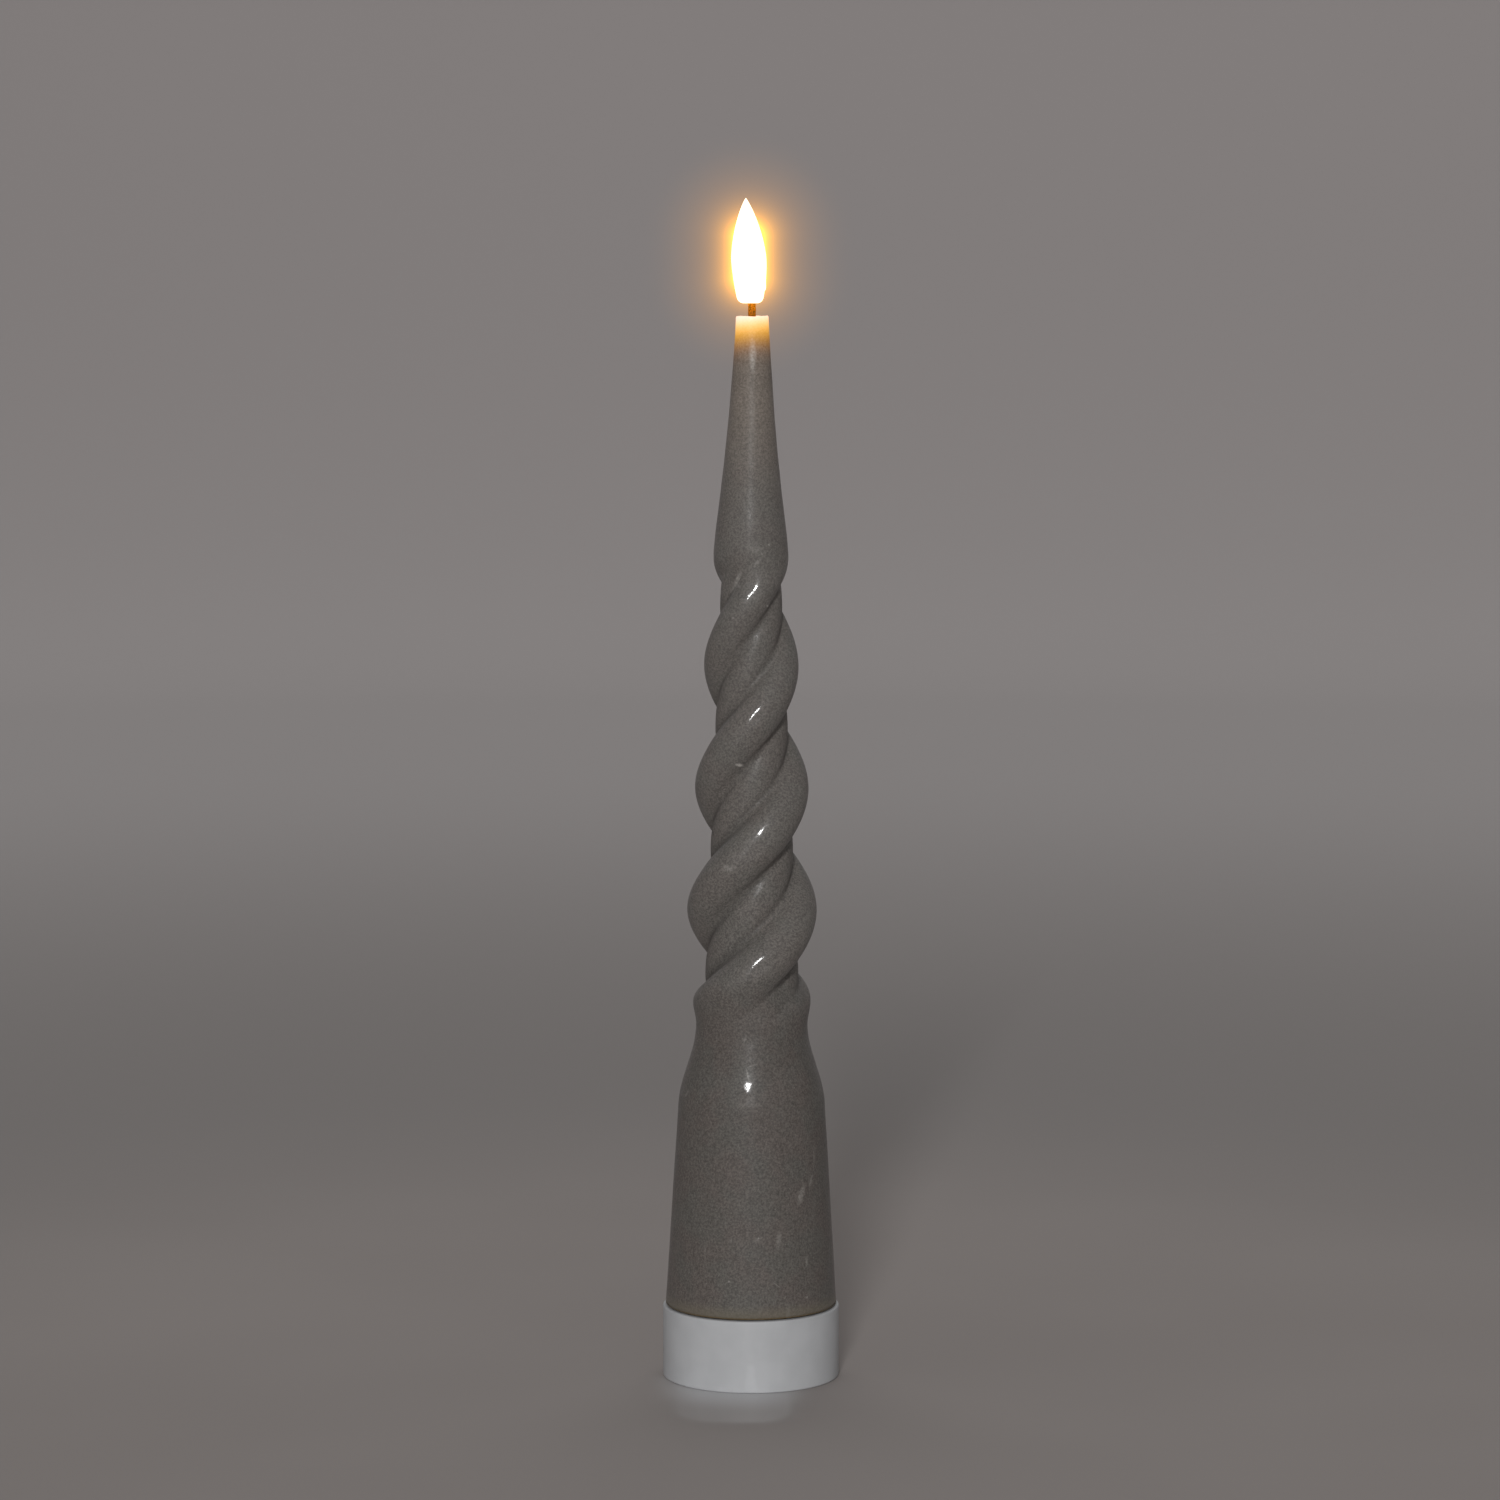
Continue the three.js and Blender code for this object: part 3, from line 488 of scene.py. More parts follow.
# Lip that carries the disc, bead that holds it down, and lugs that lock under the skirt
LIP_REACH = 1.8
LIP_HEIGHT = 1.5
BEAD_REACH = 0.6
BEAD_BOTTOM, BEAD_MIDDLE, BEAD_TOP = 3.9, 4.5, 4.9
LUG_COUNT = 3
LUG_WIDTH = 5
LUG_BOTTOM = 7.8
LUG_HEIGHT = 1.8
LUG_REACH = 1.4
LUG_ROOT = 0.4
LUG_BEND = 0.25


def ring_mesh():
    """The base ring with its rounded edges, lip and bead, and the lugs in its bore."""
    bottom, top, edge = RING_BOTTOM_BEND, RING_TOP_BEND, RING_EDGE
    lip = RING_BORE - LIP_REACH
    bead = RING_BORE - BEAD_REACH
    outline = [
        *arc(RING_RADIUS - bottom, bottom, bottom, -90, 0, 9),
        *arc(RING_RADIUS - top, RING_HEIGHT - top, top, 0, 90, 6),
        *arc(RING_BORE + edge, RING_HEIGHT - edge, edge, 90, 180, 4),
        (RING_BORE, BEAD_TOP),
        *arc(bead + edge, BEAD_MIDDLE, edge, 90, 270, 6),
        (RING_BORE, BEAD_BOTTOM),
        (RING_BORE, LIP_HEIGHT),
        *arc(lip + edge, LIP_HEIGHT - edge, edge, 90, 180, 4),
        *arc(lip + edge, edge, edge, 180, 270, 4),
    ]
    shell = skin("locking_ring_body", turned(outline, ROUND_COLUMNS), loop=True)
    lugs = [lug_mesh(2 * math.pi * index / LUG_COUNT) for index in range(LUG_COUNT)]
    return joined(shell, *lugs)


def lug_mesh(turn):
    """One block that points inwards from the bore, its inner edges rounded."""
    bend = LUG_BEND
    inner, outer = RING_BORE - LUG_REACH, RING_BORE + LUG_ROOT
    top = LUG_BOTTOM + LUG_HEIGHT
    outline = [
        (outer, LUG_BOTTOM),
        (outer, top),
        *arc(inner + bend, top - bend, bend, 90, 180, 4),
        *arc(inner + bend, LUG_BOTTOM + bend, bend, 180, 270, 4),
    ]
    half = LUG_WIDTH / 2 / SKIRT_RADIUS
    sections = [
        np.array([
            (radius * math.cos(angle), radius * math.sin(angle), height)
            for radius, height in outline
        ])
        for angle in np.linspace(turn - half, turn + half, 7)
    ]
    return skin("lug", sections)


# Flame

FLAME_COLUMNS = 96
FLAME_START = -0.15
FLAME_LEAN = -0.95
FLAME_CURL = 1.3
FLAME_SAG = 0.3
FLAME_LOW = FLAME_BOTTOM - FLAME_SAG
FLAME_HEIGHT = FLAME_TOP - FLAME_LOW
FLAME_MIDDLE = (FLAME_BOTTOM + FLAME_TOP) / 2
FLAME_RADIUS = 3.71
FLAME_WIDEST = 0.41
FLAME_TIP_POWERS = (1.65, 0.85)
FLAME_TIP_RADIUS = 0.02
FLAME_TIP_SHARE = 0.06
FLAME_DRAWN_IN = 0.31
FLAME_DRAWN_POWER = 1.8
FLAME_CORNER = 1.1
FLAME_WALL = 0.7
FLAME_MOUTH_EDGE = 0.15

# Small step of the mould on the right of the flame: how far out, and the heights where it rises
# and where it is gone
FLAME_STEP = 0.2
FLAME_STEP_RISE = (2.55, 2.85)
FLAME_STEP_FADE = (3.0, 5.2)
FLAME_STEP_NARROWNESS = 6


def flame_radius(height):
    """Radius of the flame at a height above its low end: drawn in below, a point at the top."""
    share = height / FLAME_HEIGHT
    if share > FLAME_WIDEST:
        rise = min((share - FLAME_WIDEST) / (1 - FLAME_WIDEST), 1)
        flank, tip = FLAME_TIP_POWERS
        return FLAME_RADIUS * (1 - rise**flank) ** tip
    fall = (FLAME_WIDEST - share) / FLAME_WIDEST
    radius = FLAME_RADIUS * (1 - FLAME_DRAWN_IN * fall**FLAME_DRAWN_POWER)
    corner = max(1 - height / FLAME_CORNER, 0)
    return radius - FLAME_CORNER * (1 - math.sqrt(1 - corner * corner))


def flame_ring(radius, height):
    """Ring of the flame, on its curved middle line, with the step of its mould on the right."""
    ring = circle(radius, FLAME_LOW + height, FLAME_COLUMNS)
    side = np.maximum(ring[:, 0] / radius, 0) ** FLAME_STEP_NARROWNESS
    step = FLAME_STEP * smoothstep(*FLAME_STEP_RISE, height)
    step *= 1 - smoothstep(*FLAME_STEP_FADE, height)
    curl = (height / FLAME_HEIGHT) ** FLAME_CURL
    ring[:, 0] += side * step + FLAME_START + FLAME_LEAN * curl
    return ring


def flame_mesh():
    """Shell of the flame: down its hollow to the mouth, then up its outside to the tip."""
    tip = FLAME_TIP_SHARE * FLAME_HEIGHT
    heights = np.concatenate([
        FLAME_CORNER * (1 - np.cos(np.linspace(0, math.pi / 2, 8))),
        np.linspace(FLAME_CORNER, FLAME_HEIGHT - tip, 90)[1:],
        FLAME_HEIGHT - tip * (1 - np.linspace(0, 1, 14)[1:]) ** 2,
    ])
    outer = [(max(flame_radius(up), FLAME_TIP_RADIUS), up) for up in heights]
    inner = [
        (flame_radius(up) - FLAME_WALL, up)
        for up in heights[::4]
        if up > FLAME_WALL and flame_radius(up) > 2 * FLAME_WALL
    ]
    mouth = WICK_RADIUS + FIT
    edge = FLAME_MOUTH_EDGE
    outline = inner[::-1] + [(mouth, FLAME_WALL), (mouth, edge), (mouth + edge, 0)] + outer
    return skin("flame_body", [flame_ring(radius, up) for radius, up in outline])


# Wick

def wick_mesh():
    """Waxed sleeve with the weave of a wick showing through."""
    around = np.arange(WICK_COLUMNS) * 2 * math.pi / WICK_COLUMNS * WEAVE_STRANDS
    stretch = WICK_LUMP_STRETCH
    rings = []
    for z in np.linspace(SLEEVE_BOTTOM, SLEEVE_TOP, WICK_ROWS):
        turn = 4 * math.pi * (z - SLEEVE_BOTTOM) / WEAVE_LEAD
        weave = np.maximum(np.cos(around + turn), np.cos(around - turn))
        ring = circle(1.0, z, WICK_COLUMNS)
        lumps = [roughly(x * stretch, y * stretch, z, WICK_LUMP_SIZE) for x, y in ring[:, :2]]
        radius = WICK_RADIUS - WEAVE_SETBACK + WEAVE_DEPTH * weave + WICK_LUMP * np.array(lumps)
        ring[:, :2] *= radius[:, None]
        ring[:, 0] += WICK_X
        rings.append(ring)
    bore = [circle(WICK_BORE, z, WICK_COLUMNS, WICK_X) for z in (SLEEVE_TOP, SLEEVE_BOTTOM)]
    return skin("wick_body", rings + bore, loop=True)


# Finishes

def paint(red, green, blue):
    """A colour as it looks on a screen, 0 to 255, as the shader's linear value."""
    def linear(level):
        share = level / 255
        return share / 12.92 if share <= 0.04045 else ((share + 0.055) / 1.055) ** 2.4
    return (linear(red), linear(green), linear(blue), 1.0)


class Finish:
    """A material on one shader, written in short calls. Its lengths are in millimetres."""

    def __init__(self, name, **constants):
        self.material = bpy.data.materials.new(name)
        self.material.use_nodes = True
        self.tree = self.material.node_tree
        self.shader = self.tree.nodes["Principled BSDF"]
        for key, value in constants.items():
            socket = key.replace("_", " ").title().replace("Ior", "IOR")
            self.shader.inputs[socket].default_value = value
        coordinates = self.tree.nodes.new("ShaderNodeTexCoord").outputs["Object"]
        self.place = self.node("VectorMath", {0: coordinates, "Scale": 1 / MM}, operation="SCALE")

    def feed(self, socket, value):
        if isinstance(value, bpy.types.NodeSocket):
            self.tree.links.new(value, socket)
        else:
            socket.default_value = value

    def node(self, kind, inputs, output=0, **settings):
        made = self.tree.nodes.new("ShaderNode" + kind)
        for key, value in settings.items():
            setattr(made, key, value)
        for key, value in inputs.items():
            self.feed(made.inputs[key], value)
        return made.outputs[output]

    def set(self, socket, value):
        self.feed(self.shader.inputs[socket], value)

    def maths(self, operation, a, b=0.0):
        return self.node("Math", {0: a, 1: b}, operation=operation)

    def noise(self, size, detail=2.0, rough=0.5, vector=None):
        return self.node("TexNoise", {
            "Vector": vector or self.place, "Scale": 1 / size, "Detail": detail, "Roughness": rough,
        })

    def axis(self, index):
        return self.node("SeparateXYZ", {0: self.place}, output=index)

    def length(self, vector):
        return self.node("VectorMath", {0: vector}, output="Value", operation="LENGTH")

    def from_axis(self):
        """Distance from the upright axis."""
        flat = self.node("VectorMath", {0: self.place, 1: (1, 1, 0)}, operation="MULTIPLY")
        return self.length(flat)

    def ramp(self, value, low, high, start=0.0, end=1.0):
        """Smooth step from start to end as the value goes from low to high."""
        inputs = {"Value": value, "From Min": low, "From Max": high, "To Min": start, "To Max": end}
        return self.node("MapRange", inputs, interpolation_type="SMOOTHSTEP")

    def spread(self, value, start=0.0, end=1.0, half=0.2):
        """Smooth step from start to end over the middle of a noise, that far to both sides."""
        return self.ramp(value, 0.5 - half, 0.5 + half, start, end)

    def blend(self, share, under, over):
        """Mix of two colours, with that share of the second."""
        return self.node("Mix", {0: share, 6: under, 7: over}, output=2, data_type="RGBA")

    def bump(self, height, depth, normal=None):
        """Relief of that depth, over the relief that is given as a normal."""
        inputs = {"Height": height, "Distance": depth * MM, "Strength": 1.0}
        if normal is not None:
            inputs["Normal"] = normal
        return self.node("Bump", inputs)

    def stretched(self, x, y, z):
        """Place with each axis divided by a length, for streaks."""
        scale = (1 / x, 1 / y, 1 / z)
        return self.node("VectorMath", {0: self.place, 1: scale}, operation="MULTIPLY")


# The wax: its greys, 0 to 255 on a screen, the size of their patches, and its roughness
WAX_GREYS = ((87, 84, 80), (89, 83, 79))
WAX_PATCHES = 8
WAX_ROUGHNESS = (0.46, 0.58)

# Tones that come in as the wax rises: from and up to which height, how much, and the colour
WAX_RISE = (
    (NECK - 4, NECK + 14, 0.42, (114, 110, 106)),
    # Partly the cone's own warmer tone, partly painted glow of the lamp above it
    (TWIST_TOP + 5, WAX_TOP - 12, 0.6, (128, 117, 107)),
    # Painted glow: the lamp's light in the wax, as an orange tone below the rim
    (WAX_TOP - 8, WAX_TOP - 4, 0.6, (118, 102, 68)),
)

# At its foot, in the same terms and fading upwards: light that the white ring throws up onto the
# wax, painted as a paler olive tone, and a thin dark gold-brown line along the lowest edge
WAX_FOOT = (
    (WAX_BOTTOM + 0.4, WAX_BOTTOM + 3.5, 0.5, (108, 101, 86)),
    (WAX_BOTTOM, WAX_BOTTOM + 0.35, 1, (104, 82, 44)),
)
# Pale tone of the frost, smears and marks, and of the painted highlights and sheen
PALE_WEAR_AND_HIGHLIGHT_TONE = (168, 164, 158)

# Grain of the wax: its size, and how far it lightens and darkens at two heights
GRAIN_SIZE = 0.46
GRAIN_HEIGHTS = (NECK, WAX_TOP - 30)
GRAIN_CONTRAST = (0.38, 0.3)

# In the grooves beside the ridges between the strands, shade is painted in: the wax is darker
# there.
# The ridges are also less glossy and more scuffed than the rest. A band gives from and up to how
# far beyond the ridges each of these changes.
GROOVE_PAINTED_SHADE = 0.68
GROOVE_PAINTED_SHADE_BAND = (-1.0, -0.15)
RIDGE_GLOSS, WAX_GLOSS = 0.04, 0.42
RIDGE_GLOSS_BAND = (0.3, 1.5)
RIDGE_SCUFFS = 4

# Wax below and above the twist counts as this far beyond them, over these heights
BEYOND_RIDGES = 5
RIDGES_BEGIN = (NECK, NECK + 10)
RIDGES_END = (TWIST_TOP - 12, TWIST_TOP - 4)

# The cone is scuffed too, from these heights up
CONE_SCUFFS = 2.5
CONE_SCUFFS_BEGIN = (TWIST_TOP - 3, TWIST_TOP + 6)

# Relief in the gloss and under it: size of its lumps, and depth
SKIN_SIZE, SKIN_DEPTH = 0.4, 0.014
WAVE_SIZE, WAVE_DEPTH = 2.6, 0.03
SCUFF_SIZE, SCUFF_DEPTH = 0.45, 0.012

# Frost and smears all round the wax. A band gives the values of the noise where they come in.
FROST_SIZE, FROST_BAND, FROST_SHARE = 0.6, (0.74, 0.82), 0.3
SMEAR_LENGTHS, SMEAR_BAND, SMEAR_SHARE = (1.3, 1.3, 7), (0.6, 0.8), 0.12
SMEAR_PATCHES, SMEAR_PATCH_BAND = 16, (0.45, 0.6)

# Marks and painted highlights are crumbly and have a ragged edge, which fades between these shares
# of their reach
CRUMB_SIZE, CRUMB_LEAST = 0.5, 0.4
RAGGED_SIZE, RAGGED_REACH = 0.9, 0.8
MARK_EDGE = (0.5, 1.5)
MARK_DEPTH = 100

# How the lamp's light fades down into the wax: red, green and blue
GLOW_PEAKS = (1.3, 0.84, 0.66)
GLOW_LENGTHS = (4.5, 3.65, 1.75)
GLOW_POWERS = (2.0, 1.7, 1.6)
GLOW_SLANT = 0.12

# Marks on the front of the wax, with painted highlights and sheen among them: across, up, width,
# height, lean in degrees, and paleness
MARKS_AND_PAINTED_HIGHLIGHTS = (
    (-2.4, 133.2, 1.9, 1.0, 15, 1.5),
    (-4.65, 111.6, 3.9, 2.0, 5, 0.4),
    (-2.95, 171.3, 2.6, 1.0, 30, 0.35),
    (1.7, 176.6, 0.9, 5.0, 35, 0.3),
    (3.8, 179.8, 0.7, 0.7, 0, 1),
    (3.5, 166.8, 0.7, 0.7, 0, 0.9),
    (-3.8, 164.5, 0.6, 0.6, 0, 0.9),
    (12.8, 44.4, 0.8, 3.8, 12, 0.3),
    (10.65, 41.7, 1.7, 5.4, 14, 0.4),
    (5.95, 32.6, 1.5, 5.0, 4, 0.28),
    (11.9, 27.2, 0.8, 2.8, -5, 0.3),
    (1.5, 32.9, 3.0, 1.2, -25, 0.25),
    (1.6, 33.1, 0.6, 0.6, 0, 0.9),
    (5.4, 23.1, 0.35, 4.2, -50, 0.25),
    (11.95, 19.7, 0.7, 0.8, 0, 0.5),
    (-4.7, 23.8, 0.6, 0.6, 0, 0.6),
    (-13.7, 62.4, 0.6, 2.4, 25, 0.2),
    (-16.6, 56.0, 0.6, 2.2, 15, 0.2),
    # These two are painted sheen: pale streaks where reflections lie on the front of the cone
    (0.35, 219.5, 1.8, 9, 0, 0.9),
    (0.3, 205.5, 1.8, 18, 0, 0.14),
    (-2.9, 172.2, 1.2, 6.5, 22, 0.6),
    (1.2, 178.5, 6, 3, 30, 0.2),
    # These three are painted highlights: streaks of reflection on the front of the shoulder
    (-0.7, 67.5, 0.5, 3.4, -12, 0.6),
    (0.2, 69.5, 3.2, 0.5, -20, 0.4),
    (-1.2, 75.2, 0.9, 2.2, 20, 0.35),
    (-0.8, 61.3, 9.5, 1.2, 0, 0.13),
)


def wax_finish():
    """Grey wax: a fine mottle, soft patches, frost and smears, painted highlights and sheen,
    painted shade in its grooves, and the lamp's glow at the top.
    """
    wax = Finish("wax", specular_ior_level=0.25, coat_roughness=0.11, ior=1.44)
    height = wax.axis(2)
    patches = wax.noise(WAX_PATCHES, detail=3)
    above_core = above_ridges(wax)
    color = wax_color(wax, height, patches, above_core)
    wax.set("Base Color", wax.blend(wear_and_painted_highlights(wax), color, paint(*PALE_WEAR_AND_HIGHLIGHT_TONE)))
    wax.set("Roughness", wax.spread(patches, *WAX_ROUGHNESS))
    fine = wax.bump(wax.noise(SKIN_SIZE), SKIN_DEPTH)
    waves = wax.noise(WAVE_SIZE)
    wax.set("Normal", wax.bump(waves, WAVE_DEPTH, normal=fine))
    wax.set("Coat Weight", wax.ramp(above_core, *RIDGE_GLOSS_BAND, RIDGE_GLOSS, WAX_GLOSS))
    scuffs = wax.bump(scuffed(wax, height, above_core), SCUFF_DEPTH)
    wax.set("Coat Normal", wax.bump(waves, WAVE_DEPTH, normal=scuffs))
    add_glow(wax)
    return wax.material


def wax_color(wax, height, patches, above_core):
    """Grey that lightens as it rises, with its grain, painted shade in the grooves, the lamp's glow
    painted below the rim, and at its foot painted light from the white ring and a dark line.
    """
    dark, light = (paint(*grey) for grey in WAX_GREYS)
    color = wax.blend(wax.spread(patches, half=0.14), dark, light)
    # Tones as the wax rises, with the lamp's glow painted in below the rim
    for low, high, share, tone in WAX_RISE:
        color = wax.blend(wax.ramp(height, low, high, 0, share), color, paint(*tone))
    contrast = wax.ramp(height, *GRAIN_HEIGHTS, *GRAIN_CONTRAST)
    grain = wax.spread(wax.noise(GRAIN_SIZE, detail=4, rough=0.8), -1, 1, half=0.16)
    grain = wax.maths("ADD", wax.maths("MULTIPLY", grain, contrast), 1)
    # Painted shade: the wax darkens in the grooves, where its surface lies inside the ridges
    shade = wax.ramp(above_core, *GROOVE_PAINTED_SHADE_BAND, GROOVE_PAINTED_SHADE, 1)
    grain = wax.maths("MULTIPLY", grain, shade)
    color = wax.node("VectorMath", {0: color, "Scale": grain}, operation="SCALE")
    # Painted light from the white ring at the foot, and the dark line along its lowest edge
    for low, high, share, tone in WAX_FOOT:
        color = wax.blend(wax.ramp(height, low, high, share, 0), color, paint(*tone))
    return color


def scuffed(wax, height, above_core):
    """Fine lumps that break up the gloss, most on the ridges and less on the cone."""
    on_ridges = wax.ramp(above_core, *RIDGE_GLOSS_BAND, RIDGE_SCUFFS, 1)
    on_cone = wax.ramp(height, *CONE_SCUFFS_BEGIN, 1, CONE_SCUFFS)
    return wax.maths("MULTIPLY", wax.noise(SCUFF_SIZE), wax.maths("MAXIMUM", on_ridges, on_cone))


def above_ridges(wax):
    """How far each place in the twist stands out beyond the ridges between the strands."""
    height = wax.axis(2)
    ridges = wax.node("MapRange", {
        "Value": height, "From Min": NECK, "From Max": TWIST_TOP,
        "To Min": CORE_BOTTOM_RADIUS, "To Max": CORE_TOP_RADIUS,
    })
    below_twist = wax.ramp(height, *RIDGES_BEGIN, BEYOND_RIDGES, 0)
    above_twist = wax.ramp(height, *RIDGES_END, 0, BEYOND_RIDGES)
    outside_twist = wax.maths("MAXIMUM", below_twist, above_twist)
    return wax.maths("ADD", wax.maths("SUBTRACT", wax.from_axis(), ridges), outside_twist)


def wear_and_painted_highlights(wax):
    """How pale each place is: frost and smears all round, and on the front the marks and the
    painted highlights and sheen.
    """
    frost = wax.ramp(wax.noise(FROST_SIZE, detail=1), *FROST_BAND, 0, FROST_SHARE)
    smears = wax.noise(1, vector=wax.stretched(*SMEAR_LENGTHS))
    smears = wax.ramp(smears, *SMEAR_BAND, 0, SMEAR_SHARE)
    patches = wax.ramp(wax.noise(SMEAR_PATCHES), *SMEAR_PATCH_BAND)
    smears = wax.maths("MULTIPLY", smears, patches)
    crumbs = wax.spread(wax.noise(CRUMB_SIZE), CRUMB_LEAST, 1, half=0.15)
    ragged = wax.maths("MULTIPLY", wax.noise(RAGGED_SIZE), RAGGED_REACH)
    # Marks, and painted highlights and sheen, on the front
    marks = 0.0
    for across, up, width, tall, lean_angle, paleness in MARKS_AND_PAINTED_HIGHLIGHTS:
        oval = wax.node("Mapping", {
            "Vector": wax.place,
            "Location": (across, 0, up),
            "Rotation": (0, math.radians(lean_angle), 0),
            "Scale": (width / 2, MARK_DEPTH, tall / 2),
        }, vector_type="TEXTURE")
        reach = wax.maths("ADD", wax.length(oval), ragged)
        marks = wax.maths("MAXIMUM", wax.ramp(reach, *MARK_EDGE, paleness, 0), marks)
    front = wax.ramp(wax.axis(1), -1, 0, 1, 0)
    marks = wax.maths("MULTIPLY", wax.maths("MULTIPLY", marks, crumbs), front)
    return wax.maths("MAXIMUM", marks, wax.maths("MAXIMUM", frost, smears))


def add_glow(wax):
    """The lamp's light in the wax, which fades downwards and reaches lower on the left."""
    slant = wax.maths("MULTIPLY", wax.axis(0), GLOW_SLANT)
    below_top = wax.maths("SUBTRACT", WAX_TOP, wax.axis(2))
    depth = wax.maths("MAXIMUM", wax.maths("ADD", below_top, slant), 0)
    channels = {}
    for index, (peak, length, power) in enumerate(zip(GLOW_PEAKS, GLOW_LENGTHS, GLOW_POWERS)):
        faded = wax.maths("POWER", wax.maths("DIVIDE", depth, length), power)
        faded = wax.maths("EXPONENT", wax.maths("MULTIPLY", faded, -1))
        channels[index] = wax.maths("MULTIPLY", faded, peak)
    wax.set("Emission Color", wax.node("CombineColor", channels))
    wax.set("Emission Strength", 1.0)


def flame_finish():
    """Frosted lens, bright right through."""
    flame = Finish("flame_lens", roughness=0.35)
    flame.set("Base Color", paint(255, 244, 222))
    warm = flame.spread(flame.noise(3, detail=1))
    light = flame.blend(warm, paint(255, 236, 200), paint(255, 240, 208))
    flame.set("Emission Color", light)
    flame.set("Emission Strength", 1.7)
    return flame.material


def wick_finish():
    """Waxed twine, dark brown, with the flame's light on it painted as an orange glow."""
    wick = Finish("wick", roughness=0.6, specular_ior_level=0.08)
    dark, brown = paint(20, 12, 6), paint(58, 34, 12)
    unlit, painted_glow = (0, 0, 0, 1), (1.0, 0.2, 0.0, 1)
    fibre = wick.noise(0.4, detail=3, rough=0.6)
    wick.set("Base Color", wick.blend(wick.spread(fibre, half=0.15), dark, brown))
    # Painted glow of the flame's light, stronger towards the flame
    rise = wick.ramp(wick.axis(2), WAX_TOP - 0.5, FLAME_BOTTOM + 0.4, 0.18, 0.62)
    lit = wick.maths("MULTIPLY", rise, wick.spread(fibre, 0.15, 1.3, half=0.1))
    wick.set("Emission Color", wick.blend(lit, unlit, painted_glow))
    wick.set("Emission Strength", 1.0)
    return wick.material


def plastic(name, color, shade, roughness=0.45, grain=0.6):
    """Moulded plastic with a faint mottle and a fine, soft skin."""
    made = Finish(name, roughness=roughness, ior=1.46)
    mottle = made.noise(5, detail=3)
    made.set("Base Color", made.blend(made.spread(mottle), shade, color))
    made.set("Roughness", made.spread(mottle, roughness - 0.04, roughness + 0.05))
    made.set("Normal", made.bump(made.noise(grain), 0.006))
    return made.material


def metal(name, color, shade, roughness=0.28):
    """Plated steel with drawn marks."""
    made = Finish(name, metallic=1.0, roughness=roughness)
    marks = made.noise(1, detail=3, vector=made.stretched(0.2, 0.2, 2))
    made.set("Base Color", made.blend(made.spread(marks), shade, color))
    made.set("Roughness", made.spread(marks, roughness - 0.06, roughness + 0.1))
    made.set("Normal", made.bump(marks, 0.004))
    return made.material


def board_finish():
    """Green solder mask over copper tracks."""
    board = Finish("circuit_board", roughness=0.35, coat_weight=0.3, coat_roughness=0.2)
    white, black = (1, 1, 1, 1), (0, 0, 0, 1)
    tracks = board.node("TexBrick", {
        "Vector": board.place, "Scale": 0.45, "Mortar Size": 0.06, "Mortar Smooth": 0.2,
        "Color1": white, "Color2": white, "Mortar": black,
    })
    mottle = board.spread(board.noise(1.5, detail=3))
    mask = board.blend(mottle, paint(24, 78, 48), paint(30, 92, 56))
    board.set("Base Color", board.blend(tracks, paint(52, 120, 72), mask))
    board.set("Normal", board.bump(tracks, 0.03, normal=board.bump(mottle, 0.004)))
    return board.material


def cell_finish(name, band_low, band_high):
    """Printed jacket with a copper band at the positive end and bare ends."""
    cell = Finish(name, metallic=0.7, roughness=0.32)
    height = cell.axis(2)
    edge = 0.1
    above_low = cell.ramp(height, band_low - edge, band_low + edge)
    below_high = cell.ramp(height, band_high - edge, band_high + edge, 1, 0)
    band = cell.maths("MULTIPLY", above_low, below_high)
    scuffs = cell.noise(1, detail=3, vector=cell.stretched(0.6, 0.6, 6))
    jacket = cell.blend(cell.ramp(scuffs, 0.4, 0.7), paint(40, 46, 54), paint(54, 62, 70))
    cell.set("Base Color", cell.blend(band, jacket, paint(186, 124, 78)))
    cell.set("Roughness", cell.spread(scuffs, 0.28, 0.42))
    return cell.material


def glossy(name, color, shade):
    """Small smooth part, such as wire insulation, epoxy or glaze."""
    made = Finish(name, roughness=0.3)
    tone = made.spread(made.noise(0.8))
    made.set("Base Color", made.blend(tone, shade, color))
    made.set("Roughness", made.ramp(tone, 0, 1, 0.26, 0.38))
    return made.material


# Pieces

# Copper band of a cell: from and up to how far below its positive end
CELL_BAND = (10, 1.2)


def dress(finish, *nodes):
    """Gives nodes that keep their own shape a finish, and smooth shading."""
    for name in nodes:
        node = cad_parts[name]
        node.data.materials.clear()
        node.data.materials.append(finish)
        soften(node, NODE_SHARP)


def dress_cell(name, finish_name, positive_up):
    """Gives a cell its jacket, with the copper band at its positive end."""
    low, high = (corner.z for corner in span(name))
    far, near = CELL_BAND
    band = (high - far, high - near) if positive_up else (low + near, low + far)
    dress(cell_finish(finish_name, *band), name)


piece("wax_body", wax_mesh(), "candle", "wax", wax_finish(), "wax_shell")
white = plastic("base_plastic", paint(172, 173, 175), paint(167, 168, 170), roughness=0.5)
piece("base_ring_body", ring_mesh(), "base_ring", "base_plastic", white, "locking_ring")
flame = piece(
    "flame_body", flame_mesh(), "candle", "flame_lens", flame_finish(), "flame_lens", sharp=70
)
piece("wick_body", wick_mesh(), "candle", "wick", wick_finish(), "wick_sleeve", sharp=60)

